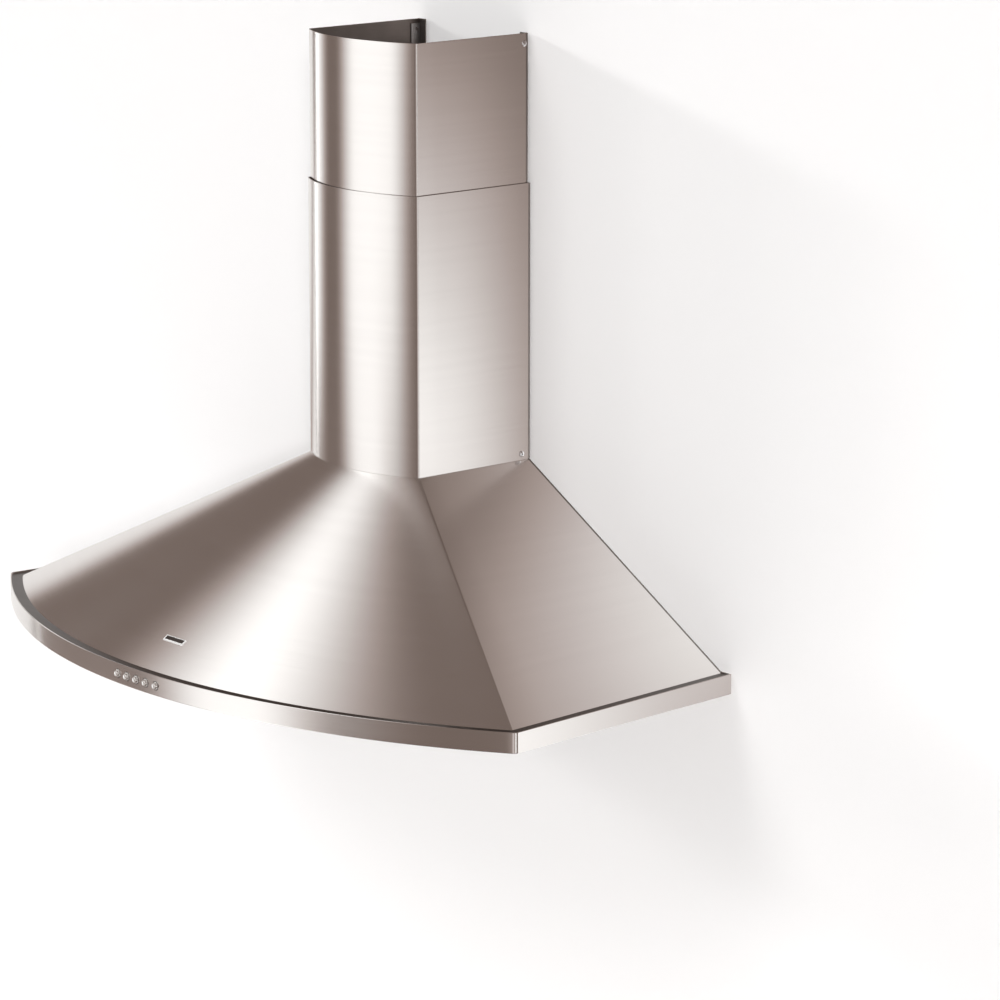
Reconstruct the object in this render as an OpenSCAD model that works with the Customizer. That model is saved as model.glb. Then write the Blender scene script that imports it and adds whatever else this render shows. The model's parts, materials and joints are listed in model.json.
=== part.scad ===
// Wall mount range hood: a low canopy with a bowed front, and a two-piece chimney cover.
// Millimetres. X runs along the wall, Y points into the wall and Z points up.
// The pieces are drawn with Z = 0 at the bottom of the rim, and then moved down, so that
// the origin lies on the wall, midway between the two hanging holes.

/* [Canopy and rim] */
// Width of the rim across its front corners
rim_w = 900; // [860:1:1000]
// Width of the rim at the wall
wall_w = 844; // [800:1:856]
// Depth of the rim's straight sides, from the wall to the front corners
side_d = 323; // [310:1:380]
// How far the bowed front stands out beyond the front corners
bow = 146; // [120:1:190]
// Height of the rim band
rim_h = 22; // [20:0.5:40]
// Width of the ledge between the band and the foot of the canopy
ledge_w = 14; // [10:0.5:30]
// How far the ledge lies below the top edge of the band
ledge_drop = 1.5; // [0.5:0.1:4]
// Width of the lip turned in under the band
lip_w = 14; // [8:0.5:20]
// Radius of the band's upright bends
rim_bend = 7; // [4:0.5:12]
// Width of the band's return flange against the wall
rim_return = 14; // [6:0.5:20]
// Height of the canopy, from the top of the rim to the chimney cover
canopy_h = 179; // [170:1:220]
// Thickness of all steel sheet
sheet = 1; // [0.8:0.1:1.5]
// Thickness of the canopy's wall, measured level
skin = 2; // [1.5:0.1:3]

/* [Chimney cover] */
// Width of the lower cover
chimney_w = 190; // [186:1:240]
// Depth of the lower cover's flat sides
chimney_d = 158; // [154:1:190]
// How far the covers' bowed front stands out beyond their sides
chimney_bow = 26; // [20:1:45]
// Radius of the covers' upright bends
chimney_bend = 2.5; // [2:0.1:5]
// Height of the lower cover
lower_h = 307; // [280:1:420]
// Height of the upper cover that shows above the lower one
upper_show = 163; // [150:1:240]
// Length of the upper cover that is hidden inside the lower one
upper_hidden = 153; // [120:1:170]
// Gap between the upper cover and the lower cover at the front and sides
cover_gap = 1.5; // [1:0.1:3]
// Gap between the two covers' return flanges
flange_gap = 0.5; // [0.3:0.1:1.5]
// Width of the covers' return flanges
flange_w = 12; // [8:0.5:18]
// Height of the lower bracket
lower_bracket_h = 14; // [12:1:20]

/* [Wall fixing] */
// Height of the hanging holes above the rim's bottom
hook_h = 165; // [150:1:175]
// Distance between the hanging holes
hook_spacing = 200; // [170:1:220]
// Diameter of the hanging holes
hook_d = 8; // [6:0.5:10]
// Height of the two safety fixing holes
safety_h = 38; // [32:1:44]
// Distance between the safety fixing holes
safety_spacing = 500; // [440:1:600]
// Diameter of the safety fixing holes
safety_d = 6; // [5:0.5:8]
// Distance from the top of the upper cover down to its bracket's bar
bar_drop = 30; // [26:1:40]
// Height of the upper bracket's bar
bar_h = 20; // [16:1:26]
// Distance between the upper bracket's wall holes
bar_spacing = 90; // [60:1:110]
// Diameter of the upper bracket's wall holes
bar_hole_d = 6; // [5:0.5:8]

/* [Underside] */
// Height of the underside panel above the rim's bottom
panel_z = 8; // [6:0.5:10]
// Width of each filter opening
opening_w = 270; // [240:1:290]
// Depth of each filter opening
opening_d = 242; // [220:1:246]
// Distance from the wall to the filter openings
opening_y = 40; // [32:1:44]
// Width of the bar between the two filter openings
centre_bar = 18; // [16:1:40]
// Height of the openings' upright flanges
upstand = 8; // [6:0.5:12]
// Gap between a filter and its opening at the sides and front
filter_gap = 1; // [0.6:0.1:2]
// Gap between a filter and its opening at the hinged rear
filter_rear_gap = 2; // [1.8:0.1:3]
// Thickness of the filters
filter_h = 8; // [7:0.5:9]
// How far a filter hangs below the underside panel
filter_proud = 3; // [1:0.5:4]
// Width of a filter's side and rear rails
rail_w = 14; // [10:0.5:20]
// Width of a filter's front rail
front_rail_w = 26; // [24:0.5:34]
// Gaps in a row of a filter's net
net_across = 12; // [8:1:13]
// Rows of gaps of a filter's net, with as many staggered rows less one between them
net_deep = 9; // [6:1:10]
// Width of the net's strands
strand = 2.4; // [1.6:0.1:3]
// Thickness of the net
net_t = 1.2; // [0.8:0.1:2]
// Width of a filter catch
catch_w = 40; // [30:1:60]
// Travel of a filter catch
catch_travel = 4; // [3:0.5:5]

/* [Lamps] */
// Distance of each lamp from the middle of the hood
lamp_x = 190; // [150:1:230]
// Diameter of the lamp housings
lamp_d = 62; // [50:1:66]
// Height of the lamp housings
lamp_h = 34; // [30:1:40]
// Diameter of the lamps' trim rings
lamp_ring_d = 76; // [74:1:80]

/* [Buttons] */
// Diameter of the buttons
button_d = 9; // [7:0.5:10]
// Distance between neighbouring buttons
button_pitch = 17; // [14:0.5:20]
// How far the buttons stand out of the band
button_proud = 3; // [2.8:0.1:5]
// Travel of the buttons
button_travel = 2.5; // [1:0.1:2.8]

/* [Blower] */
// Diameter of the impeller
fan_d = 130; // [120:1:134]
// Width of the impeller
fan_w = 90; // [80:1:96]
// Number of impeller blades
blades = 36; // [24:1:44]
// Depth of the impeller's blades
blade_depth = 11; // [8:0.5:13]
// Thickness of the blades
blade_t = 1; // [0.8:0.1:1.4]
// Distance of the fan's axis from the wall
fan_y = 82; // [80:1:86]
// Height of the fan's axis above the rim's bottom
fan_z = 125; // [120:1:130]
// Gap between impeller and scroll at the cut-off
scroll_gap = 6; // [4:0.5:7]
// How much the scroll opens from the cut-off to the outlet
scroll_grow = 16; // [10:0.5:17]
// Gap between the impeller's ends and the scroll's side plates
scroll_side_gap = 4; // [3:0.5:5]
// Diameter of the fan's inlet throats
throat_d = 100; // [90:1:102]
// Diameter of the motor
motor_d = 72; // [60:1:78]
// Diameter of the motor shaft
shaft_d = 8; // [6:0.5:10]

/* [Duct outlet] */
// Diameter of the duct collar
duct_d = 150; // [120:1:152]
// Height of the duct collar
collar_h = 60; // [56:1:75]
// Distance between the two flaps' hinge pins
flap_pitch = 12; // [11:0.5:16]
// Diameter of the flaps' hinge pins
flap_pin_d = 3; // [2.5:0.1:4]

/* [Hidden] */

// Clearances
seat = 0.3;
slide = 0.4;
bush_gap = 0.05;

// Finishes
steel = [0.74, 0.72, 0.71];
galvanised = [0.62, 0.64, 0.66];
aluminium = [0.78, 0.79, 0.80];
black_plastic = [0.10, 0.10, 0.11];
grey_plastic = [0.45, 0.46, 0.48];
white_plastic = [0.90, 0.90, 0.88];
glass = [0.85, 0.92, 0.95];

// Smoothness of the long bows, of the middling rounds and of the small rounds
bow_fn = 240;
round_fn = 96;
small_fn = 48;

// Heights above the rim's bottom
ledge_z = rim_h - ledge_drop;
canopy_top = rim_h + canopy_h;
lower_top = canopy_top + lower_h;
upper_top = lower_top + upper_show;
upper_foot = lower_top - upper_hidden;

// A bowed plan is [half width at the wall, half width in front, depth of the sides, bow]
rim_plan = [wall_w / 2, rim_w / 2, side_d, bow];
cover_plan = [chimney_w / 2, chimney_w / 2, chimney_d, chimney_bow];
reach = side_d + bow + 60;

function bow_r(p) = (p[1] * p[1] + p[3] * p[3]) / (2 * p[3]);
function bow_y(p) = bow_r(p) - p[2] - p[3];
function lean(p) = (p[1] - p[0]) / p[2];
function slant(p) = sqrt(1 + lean(p) * lean(p));

// Half width of the plan at the wall, with its outline moved in by i
function wall_x(p, i) = p[0] - i * slant(p);

// Front corner on the right, with the outline moved in by i: the side line meets the bow
function corner_depth(p, i) =
    let (
        k = lean(p),
        b = k * wall_x(p, i) + bow_y(p),
        c = pow(wall_x(p, i), 2) + pow(bow_y(p), 2) - pow(bow_r(p) - i, 2)
    )
    (sqrt(b * b - (k * k + 1) * c) - b) / (k * k + 1);
function corner(p, i) = [wall_x(p, i) + lean(p) * corner_depth(p, i), -corner_depth(p, i)];

// Depth of the bowed front at a distance x from the middle
function bow_front(p, i, x) = bow_y(p) - sqrt(pow(bow_r(p) - i, 2) - x * x);

// Directions square to the right side and square to the bow at its front corner
function side_out(p) = [1, lean(p)] / slant(p);
function bow_out(p, i) = (corner(p, i) - [0, bow_y(p)]) / (bow_r(p) - i);

// Bowed plan, moved in by i, with its back edge at y = -back and bends of radius bend
module bowed_plan(p, i, back = 0, bend = 0) {
    difference() {
        intersection() {
            translate([0, bow_y(p)]) circle(r = bow_r(p) - i, $fn = bow_fn);
            polygon([
                [-wall_x(p, i) - lean(p) * back, -back],
                [wall_x(p, i) + lean(p) * back, -back],
                [wall_x(p, i) + lean(p) * reach, -reach],
                [-wall_x(p, i) - lean(p) * reach, -reach]
            ]);
        }
        if (bend > i) {
            for (s = [-1, 1]) bend_waste(p, bend, s);
        }
    }
    if (bend > i) {
        for (s = [-1, 1]) translate([s * corner(p, bend)[0], corner(p, bend)[1]])
            rotate(90) circle(r = bend - i, $fn = small_fn);
    }
}

// Corner that a bend of radius r leaves out, on the side s: -1 is left and 1 is right
module bend_waste(p, r, s) {
    c = corner(p, r);
    a = side_out(p) * (r + 1);
    b = bow_out(p, r) * (r + 1);
    polygon([for (q = [c, c + a, c + (a + b) * 1.4, c + b]) [s * q[0], q[1]]]);
}

module flat(z, t) {
    translate([0, 0, z]) linear_extrude(height = t) children();
}

// Extrudes a drawing of the Y-Z plane along X
module across(x, t) {
    translate([x, 0, 0]) rotate([90, 0, 90]) linear_extrude(height = t) children();
}

// Pan head screw that points along -Z, with its head's seat at the origin
module screw(head_r, head_h, shank_r, length) {
    rotate_extrude($fn = small_fn) polygon([
        [0, -length], [shank_r, -length], [shank_r, 0], [head_r, 0],
        [head_r, head_h * 0.6], [head_r * 0.7, head_h], [0, head_h]
    ]);
}

// Rim

// Part of the rim's plan in front of the side bands' butt joints
module rim_front_zone() {
    joint_at = corner(rim_plan, rim_bend) + side_out(rim_plan) * rim_bend;
    inner = joint_at - side_out(rim_plan) * (ledge_w + 4 * skin + rim_bend);
    outer = joint_at + side_out(rim_plan) * rim_bend;
    polygon([
        [-inner[0], inner[1]], inner, outer, [outer[0], -reach],
        [-outer[0], -reach], [-outer[0], outer[1]]
    ]);
}

module rim_side_zone() {
    difference() {
        translate([chimney_w, -reach]) square([rim_w, reach]);
        rim_front_zone();
    }
}

module rim_band_plan() {
    difference() {
        bowed_plan(rim_plan, 0, 0, rim_bend);
        bowed_plan(rim_plan, sheet, -1, rim_bend);
    }
}

// Level strip of the rim, from its outside to a distance w inside it
module rim_strip_plan(w) {
    difference() {
        bowed_plan(rim_plan, 0, sheet + seat, rim_bend);
        bowed_plan(rim_plan, w, 0, 0);
    }
}

// Half width at which the ledge ends under the canopy's wall
ledge_full = ledge_w + 3 * skin;

module rim_front_band() {
    color(steel) difference() {
        union() {
            flat(0, rim_h) intersection() { rim_band_plan(); rim_front_zone(); }
            flat(0, sheet) intersection() { rim_strip_plan(lip_w); rim_front_zone(); }
            flat(ledge_z - sheet, sheet) intersection() {
                rim_strip_plan(ledge_full);
                rim_front_zone();
            }
        }
        for (n = [1 : 5]) button_place(n)
            translate([0, bow_front(rim_plan, 0, button_x(n)) - button_proud, 0])
                rotate([-90, 0, 0]) cylinder(d = button_d + 4 * seat, h = 4 * button_proud, $fn = small_fn);
    }
}

module rim_side_right() {
    color(steel) {
        flat(0, rim_h) intersection() { rim_band_plan(); rim_side_zone(); }
        flat(0, sheet) intersection() { rim_strip_plan(lip_w); rim_side_zone(); }
        flat(ledge_z - sheet, sheet) intersection() { rim_strip_plan(ledge_full); rim_side_zone(); }
        translate([wall_w / 2 - sheet - rim_return, -sheet, 0]) cube([rim_return, sheet, rim_h]);
    }
}

// Canopy

// Closed skin between four rows of points: outside foot, outside top, inside top, inside foot
module skin_between(outside_foot, outside_top, inside_top, inside_foot) {
    n = len(outside_foot);
    last = n - 1;
    around = [
        for (row = [0 : 3], c = [0 : last - 1], half = [0, 1])
            let (a = row * n + c, b = ((row + 1) % 4) * n + c)
            half == 0 ? [a, b, b + 1] : [a, b + 1, a + 1]
    ];
    ends = [
        [0, 2 * n, n], [0, 3 * n, 2 * n],
        [last, n + last, 2 * n + last], [last, 2 * n + last, 3 * n + last]
    ];
    polyhedron(
        points = concat(outside_foot, outside_top, inside_top, inside_foot),
        faces = concat(around, ends)
    );
}

// Points of a plan's bow from its left corner to its right corner
bow_steps = 90;
function bow_half_angle(p, i) = asin(corner(p, i)[0] / (bow_r(p) - i));
function bow_row(p, i, z) = [
    for (k = [0 : bow_steps])
        let (a = bow_half_angle(p, i) * (2 * k / bow_steps - 1))
        [(bow_r(p) - i) * sin(a), bow_y(p) - (bow_r(p) - i) * cos(a), z]
];

// Points of a plan's right side from its front corner to the wall
side_steps = 8;
function side_row(p, i, z) = [
    for (k = [0 : side_steps])
        let (d = corner_depth(p, i) * (1 - k / side_steps))
        [wall_x(p, i) + lean(p) * d, -d, z]
];

module canopy_front_panel() {
    color(steel) skin_between(
        bow_row(rim_plan, ledge_w, ledge_z),
        bow_row(cover_plan, 0, canopy_top),
        bow_row(cover_plan, skin, canopy_top),
        bow_row(rim_plan, ledge_w + skin, ledge_z)
    );
}

module canopy_side_right() {
    color(steel) skin_between(
        side_row(rim_plan, ledge_w, ledge_z),
        side_row(cover_plan, 0, canopy_top),
        side_row(cover_plan, skin, canopy_top),
        side_row(rim_plan, ledge_w + skin, ledge_z)
    );
}

// Stiffening flange inside the canopy's top, open round the blower
module canopy_top_flange() {
    color(galvanised) flat(canopy_top - sheet - seat, sheet) difference() {
        bowed_plan(cover_plan, skin + seat, sheet + seat);
        translate([-scroll_half - 2 * sheet, scroll_front - 2 * sheet])
            square([2 * scroll_half + 4 * sheet, -scroll_front + sheet]);
        translate([gland_x, gland_y]) circle(r = gland_thread + seat, $fn = small_fn);
    }
}

// Half width of the back plate in the canopy's back edge, at the foot and at the top
back_foot = wall_x(rim_plan, ledge_w + skin);
back_top = wall_x(cover_plan, skin);
back_slope = (back_foot - back_top) / (canopy_top - ledge_z);
back_seat = seat * sqrt(1 + back_slope * back_slope);

module back_plate() {
    foot = min(back_foot - back_seat, wall_w / 2 - sheet - rim_return - seat);
    color(galvanised) difference() {
        union() {
            rotate([90, 0, 0]) linear_extrude(height = sheet) polygon([
                [-foot, sheet], [foot, sheet], [foot, ledge_z],
                [back_top - back_seat, canopy_top], [back_seat - back_top, canopy_top],
                [-foot, ledge_z]
            ]);
            translate([-bracket_half + flange_w, -sheet, canopy_top - 1])
                cube([2 * (bracket_half - flange_w), sheet, lower_bracket_h + 1]);
        }
        for (s = [-1, 1]) {
            translate([s * hook_spacing / 2, 1, hook_h]) rotate([90, 0, 0])
                cylinder(d = hook_d, h = sheet + 2, $fn = small_fn);
            translate([s * safety_spacing / 2, 1, safety_h]) rotate([90, 0, 0])
                cylinder(d = safety_d, h = sheet + 2, $fn = small_fn);
        }
    }
}

// Underside

opening_x = centre_bar / 2;
opening_front = -opening_y - opening_d;
panel_inset = sheet + seat;

// Tray of sheet, open below: its rim stands on the band's lip
module underside_panel() {
    notch_half = block_half + seat;
    color(steel) difference() {
        union() {
            flat(sheet, panel_z) bowed_plan(rim_plan, panel_inset, panel_inset, rim_bend);
            for (s = [0, 1]) mirror([s, 0, 0]) {
                translate([opening_x, opening_front - sheet, panel_z])
                    cube([opening_w + sheet, sheet, upstand]);
                translate([opening_x + opening_w, opening_front, panel_z])
                    cube([sheet, opening_d, upstand]);
            }
        }
        flat(0, panel_z) bowed_plan(rim_plan, panel_inset + sheet, panel_inset + sheet, rim_bend);
        for (s = [0, 1]) mirror([s, 0, 0]) {
            translate([opening_x, opening_front, 0]) cube([opening_w, opening_d, rim_h]);
            translate([lamp_x, -lamp_y, 0]) cylinder(d = lamp_d + 2 * seat, h = rim_h, $fn = round_fn);
        }
        translate([-notch_half, -reach, 0])
            cube([2 * notch_half, reach + block_back + seat, rim_h]);
    }
}

// Filters, drawn on the right

filter_x = opening_x + filter_gap;
filter_w = opening_w - 2 * filter_gap;
filter_front = opening_front + filter_gap;
filter_d = opening_d - filter_gap - filter_rear_gap;
filter_z = panel_z - filter_proud;
hinge_z = panel_z + sheet + seat;
filter_mid = filter_x + filter_w / 2;
net_z = filter_z + (filter_h - net_t) / 2;
net_x = filter_x + rail_w;
net_w = filter_w - 2 * rail_w;
net_y = filter_front + front_rail_w;
net_d = filter_d - front_rail_w - rail_w;
net_seat = 4;
tab_w = 20;
tab_t = 1.5;
tab_hold = 8;
catch_t = 3;
catch_body = 16;
pull_w = catch_w * 0.6;
pull_t = 6;
pull_at = 6;
pull_drop = 3;

module filter_frame_right() {
    color(aluminium) difference() {
        union() {
            translate([filter_x, filter_front, filter_z]) cube([filter_w, filter_d, filter_h]);
            for (s = [-1, 1]) translate([filter_mid + s * filter_w / 4 - tab_w / 2, 0, hinge_z])
                translate([0, filter_front + filter_d - rail_w, 0])
                    cube([tab_w, rail_w + filter_rear_gap + tab_hold, tab_t]);
        }
        translate([net_x, net_y, 0]) cube([net_w, net_d, rim_h]);
        translate([net_x - net_seat - seat, net_y - net_seat - seat, net_z - seat])
            cube([net_w + 2 * net_seat + 2 * seat, net_d + 2 * net_seat + 2 * seat, net_t + 2 * seat]);
        translate([filter_mid - catch_w / 2 - slide, filter_front - 1, catch_z - seat])
            cube([catch_w + 2 * slide, catch_body + catch_travel + 1 + slide, catch_t + 2 * seat]);
        translate([filter_mid - pull_w / 2 - slide, filter_front + pull_at - slide, 0])
            cube([pull_w + 2 * slide, pull_t + catch_travel + 2 * slide, catch_z]);
    }
}

// Stretched metal net: slanted strands cross each other and leave staggered lozenge gaps
module filter_net_right() {
    pitch_x = net_w / net_across;
    pitch_y = net_d / net_deep;
    color(aluminium) translate([net_x, net_y, net_z]) linear_extrude(height = net_t) difference() {
        translate([-net_seat, -net_seat]) square([net_w + 2 * net_seat, net_d + 2 * net_seat]);
        for (i = [0 : net_across - 1], j = [0 : net_deep - 1])
            translate([(i + 0.5) * pitch_x, (j + 0.5) * pitch_y]) lozenge(pitch_x, pitch_y);
        for (i = [1 : net_across - 1], j = [1 : net_deep - 1])
            translate([i * pitch_x, j * pitch_y]) lozenge(pitch_x, pitch_y);
    }
}

// Gap between strands that cross: the lozenge of the pitch, less half a strand all round
module lozenge(w, d) {
    less = strand / 2 * sqrt(w * w + d * d);
    a = w / 2 - less / d;
    b = d / 2 - less / w;
    polygon([[a, 0], [0, b], [-a, 0], [0, -b]]);
}

catch_z = hinge_z - seat;

// Sprung catch: its round nose bears on the opening's front flange, and its pull hangs below
module filter_catch_right() {
    nose = catch_t / 2;
    tip = opening_front + seat;
    color(aluminium) {
        translate([filter_mid - catch_w / 2, tip + nose, catch_z + nose]) rotate([0, 90, 0])
            cylinder(r = nose, h = catch_w, $fn = small_fn);
        translate([filter_mid - catch_w / 2, tip + nose, catch_z])
            cube([catch_w, filter_front + catch_body - tip - nose, catch_t]);
        translate([filter_mid - pull_w / 2, filter_front + pull_at, filter_z - pull_drop])
            cube([pull_w, pull_t, catch_z + 1 - filter_z + pull_drop]);
    }
}

// Lamps, drawn on the right

// The lamps stand midway between the filter openings and the canopy's wall at their tops
wall_foot = -bow_front(rim_plan, ledge_w + skin, lamp_x);
wall_lean = (wall_foot - chimney_d - chimney_bow + skin) / (canopy_top - ledge_z);
lamp_room = wall_foot - wall_lean * (panel_z + lamp_h - ledge_z);
lamp_y = (opening_y + opening_d + lamp_room) / 2;
lamp_r = lamp_d / 2;
lens_t = 2;
ring_t = 1.5;
lens_r = lamp_r - sheet - seat;
lens_z = panel_z + seat;

module at_lamp() {
    translate([lamp_x, -lamp_y, 0]) children();
}

module lamp_housing_right() {
    top = panel_z + lamp_h;
    color(galvanised) at_lamp() rotate_extrude($fn = round_fn) polygon([
        [lamp_r - sheet, panel_z], [lamp_r, panel_z], [lamp_r, panel_z + sheet],
        [lamp_r + 3, panel_z + sheet], [lamp_r + 3, panel_z + 2 * sheet],
        [lamp_r, panel_z + 2 * sheet], [lamp_r, top - 6], [lamp_r - 6, top],
        [0, top], [0, top - sheet], [lamp_r - 6 - sheet / 2, top - sheet],
        [lamp_r - sheet, top - 6 - sheet / 2]
    ]);
}

module lamp_ring_right() {
    outer = lamp_ring_d / 2;
    color(steel) at_lamp() rotate_extrude($fn = round_fn) polygon([
        [lamp_r - 6, panel_z], [outer, panel_z], [outer, panel_z - 0.6], [outer - 1.5, panel_z - ring_t],
        [lamp_r - 4, panel_z - ring_t], [lamp_r - 6, panel_z - 0.6]
    ]);
}

module lamp_lens_right() {
    color(glass) at_lamp() translate([0, 0, lens_z]) cylinder(r = lens_r, h = lens_t, $fn = round_fn);
}

// Reflector lamp on a plain cap
module lamp_bulb_right() {
    low = lens_z + lens_t + 2;
    top = panel_z + lamp_h - sheet;
    dish = lens_r * 0.82;
    color(white_plastic) at_lamp() rotate_extrude($fn = round_fn) polygon([
        [0, low + 4], [dish * 0.45, low + 3], [dish - 1, low], [dish, low],
        [dish, low + 3], [dish * 0.55, top - 7], [8, top - 7], [8, top], [0, top]
    ]);
}

driver_size = [110, 46, 24];
driver_ear = [10, 16, 2];

// Box with a screw ear at each end, between the lamps
module lamp_driver() {
    ears = driver_size[0] + 2 * driver_ear[0];
    color(white_plastic) translate([0, -lamp_y, panel_z + sheet]) {
        translate([-driver_size[0] / 2, -driver_size[1] / 2, 0]) cube(driver_size);
        difference() {
            translate([-ears / 2, -driver_ear[1] / 2, 0]) cube([ears, driver_ear[1], driver_ear[2]]);
            for (s = [-1, 1]) translate([s * (ears - driver_ear[0]) / 2, 0, -1])
                cylinder(d = driver_ear[0] * 0.4, h = driver_ear[2] + 2, $fn = small_fn);
        }
    }
}

// Buttons and their switch block

function button_x(n) = (n - 3) * button_pitch;
block_half = 2 * button_pitch + button_d / 2 + 7;
block_front = bow_front(rim_plan, sheet, block_half) + seat;
block_d = 32;
block_back = block_front + block_d;
block_z = 2 * sheet;
guide = 12;

module button_place(n) {
    translate([button_x(n), 0, rim_h / 2]) children();
}

module button(n) {
    face = bow_front(rim_plan, 0, button_x(n)) - button_proud;
    length = block_front + guide - face;
    color(aluminium) button_place(n) translate([0, face, 0]) rotate([-90, 0, 0])
        rotate_extrude($fn = small_fn) polygon([
            [0, 0], [button_d / 2 - 0.8, 0], [button_d / 2, 0.8], [button_d / 2, length], [0, length]
        ]);
}

module switch_block() {
    height = ledge_z - sheet - block_z - seat;
    depth = guide + button_travel + 1;
    color(black_plastic) difference() {
        union() {
            translate([-block_half, block_front, block_z]) cube([2 * block_half, block_d, height]);
            for (n = [1 : 5]) translate([button_x(n) - 3, block_back, rim_h / 2 - 2]) cube([6, 5, 1]);
        }
        for (n = [1 : 5]) button_place(n) translate([0, block_front - 1, 0]) rotate([-90, 0, 0])
            cylinder(d = button_d + 2 * seat, h = depth + 1, $fn = small_fn);
    }
}

// Blower

fan_r = fan_d / 2;
tongue = 70;
sweep = tongue + 180;
scroll_steps = 40;
scroll_half = fan_w / 2 + scroll_side_gap;
scroll_start = fan_r + scroll_gap;
scroll_end = scroll_start + scroll_grow;
scroll_front = -fan_y - scroll_end - sheet;
outlet_z = canopy_top + 11;
outlet_rise = outlet_z - fan_z;
outlet_back = scroll_start * cos(tongue);
throat_r = throat_d / 2;
bell_r = 6;

// Spiral from the cut-off round to the upright front wall, moved out by t, seen along X
function spiral(t) = [
    for (k = [0 : scroll_steps])
        let (a = tongue - sweep * k / scroll_steps, r = scroll_start + scroll_grow * k / scroll_steps + t)
        [r * cos(a), r * sin(a)]
];
function scroll_outline(t, top) = concat(
    spiral(t),
    [[-scroll_end - t, top], [outlet_back + t, top]]
);

module at_fan() {
    translate([0, -fan_y, fan_z]) children();
}

module scroll_wall() {
    color(galvanised) at_fan() across(-scroll_half, 2 * scroll_half) difference() {
        polygon(scroll_outline(sheet, outlet_rise));
        polygon(scroll_outline(0, outlet_rise + 1));
    }
}

// Side plate with an inlet ring that rolls in towards the impeller
module scroll_plate_right() {
    color(galvanised) at_fan() {
        difference() {
            across(scroll_half, sheet) difference() {
                polygon(scroll_outline(sheet, outlet_rise));
                circle(r = throat_r + bell_r, $fn = round_fn);
            }
            for (dz = bracket_screws_z)
                translate([0, fan_y - plate_screw_y, dz - fan_z]) rotate([0, 90, 0])
                    cylinder(r = screw_hole_r, h = 2 * scroll_half, $fn = small_fn);
        }
        translate([scroll_half + sheet, 0, 0]) rotate([0, 90, 0]) rotate_extrude($fn = round_fn)
            intersection() {
                translate([throat_r + bell_r, -bell_r - sheet]) difference() {
                    circle(r = bell_r + sheet, $fn = small_fn);
                    circle(r = bell_r, $fn = small_fn);
                }
                translate([throat_r - sheet, -bell_r - sheet]) square([bell_r + sheet, bell_r + sheet]);
            }
    }
}

// Section of a forward curved blade: its lean grows with the square of the way out
blade_lean = 13;
blade_steps = 5;
function blade_edge(side) = [
    for (k = [0 : blade_steps])
        let (
            u = side > 0 ? k / blade_steps : 1 - k / blade_steps,
            r = fan_r - blade_depth + u * (blade_depth - 0.5),
            a = blade_lean * u * u + side * asin(blade_t / 2 / r)
        )
        [r * cos(a), r * sin(a)]
];

// Double inlet drum impeller: blades between two end rings, on a middle disc and hub
module impeller() {
    ring_t = 2;
    color(galvanised) at_fan() {
        across(-fan_w / 2, fan_w) difference() {
            for (k = [0 : blades - 1]) rotate(k * 360 / blades)
                polygon(concat(blade_edge(1), blade_edge(-1)));
        }
        for (x = [-fan_w / 2, fan_w / 2 - ring_t]) translate([x, 0, 0]) rotate([0, 90, 0])
            difference() {
                cylinder(r = fan_r, h = ring_t, $fn = round_fn);
                translate([0, 0, -1]) cylinder(r = fan_r - blade_depth - 2, h = ring_t + 2, $fn = round_fn);
            }
        rotate([0, 90, 0]) rotate_extrude($fn = round_fn) polygon([
            [shaft_d / 2, -hub_back], [hub_r, -hub_back], [hub_r, -sheet], [fan_r - 1, -sheet],
            [fan_r - 1, sheet], [hub_r, sheet], [hub_r, hub_front], [shaft_d / 2, hub_front]
        ]);
    }
}

hub_r = shaft_d / 2 + 8;
hub_back = 5;
hub_front = 18;
motor_front = -hub_back - 3;
motor_l = 84;
motor_back = motor_front - motor_l;
bush_l = 8;
bush_r = shaft_d / 2 + 4;
motor_wall = 4;

module along_fan() {
    at_fan() rotate([0, 90, 0]) children();
}

module motor_shaft() {
    color(aluminium) along_fan() translate([0, 0, motor_back + motor_wall + 1])
        cylinder(d = shaft_d, h = hub_front - motor_back - motor_wall - 1, $fn = small_fn);
}

// Motor with end bells, a wider lamination stack and a bore for its bushes
module motor_can() {
    r = motor_d / 2;
    color(galvanised) along_fan() rotate_extrude($fn = round_fn) polygon([
        [0, motor_back], [r - 8, motor_back], [r - 3, motor_back + 6], [r - 3, motor_back + 20],
        [r, motor_back + 20], [r, motor_front - 22], [r - 3, motor_front - 22],
        [r - 3, motor_front - 8], [r - 10, motor_front], [bush_r, motor_front],
        [bush_r, motor_back + motor_wall], [0, motor_back + motor_wall]
    ]);
}

module motor_bushes() {
    color([0.72, 0.55, 0.30]) along_fan()
        for (x = [motor_back + motor_wall, motor_front - bush_l]) translate([0, 0, x]) difference() {
            cylinder(r = bush_r, h = bush_l, $fn = small_fn);
            translate([0, 0, -1]) cylinder(r = shaft_d / 2 + bush_gap, h = bush_l + 2, $fn = small_fn);
        }
}

// Three-armed bracket that carries the motor in the left inlet
module motor_bracket() {
    r = motor_d / 2;
    face = -scroll_half - sheet;
    foot = 12;
    reach_r = throat_r + bell_r + 2;
    color(galvanised) along_fan() {
        translate([0, 0, face - 16]) difference() {
            cylinder(r = r + 4, h = 10, $fn = round_fn);
            translate([0, 0, -1]) cylinder(r = r, h = 12, $fn = round_fn);
        }
        for (a = [30, 150, 270]) rotate(a) {
            translate([r + 2, -foot / 2, face - 9]) cube([reach_r + 8 - r - 2, foot, 3]);
            translate([reach_r, -foot / 2, face - 7]) cube([8, foot, 7]);
        }
    }
}

// Angle brackets between the scroll's side plates and the back plate
bracket_t = 1.5;
bracket_low = 60;
bracket_top = 190;
bracket_arm = 30;
bracket_leg = 26;
bracket_screws_z = [100, 150];
plate_screw_y = 20;
leg_screw_x = 16;
leg_screws_z = [78, 172];
screw_hole_r = 2.2;

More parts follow.
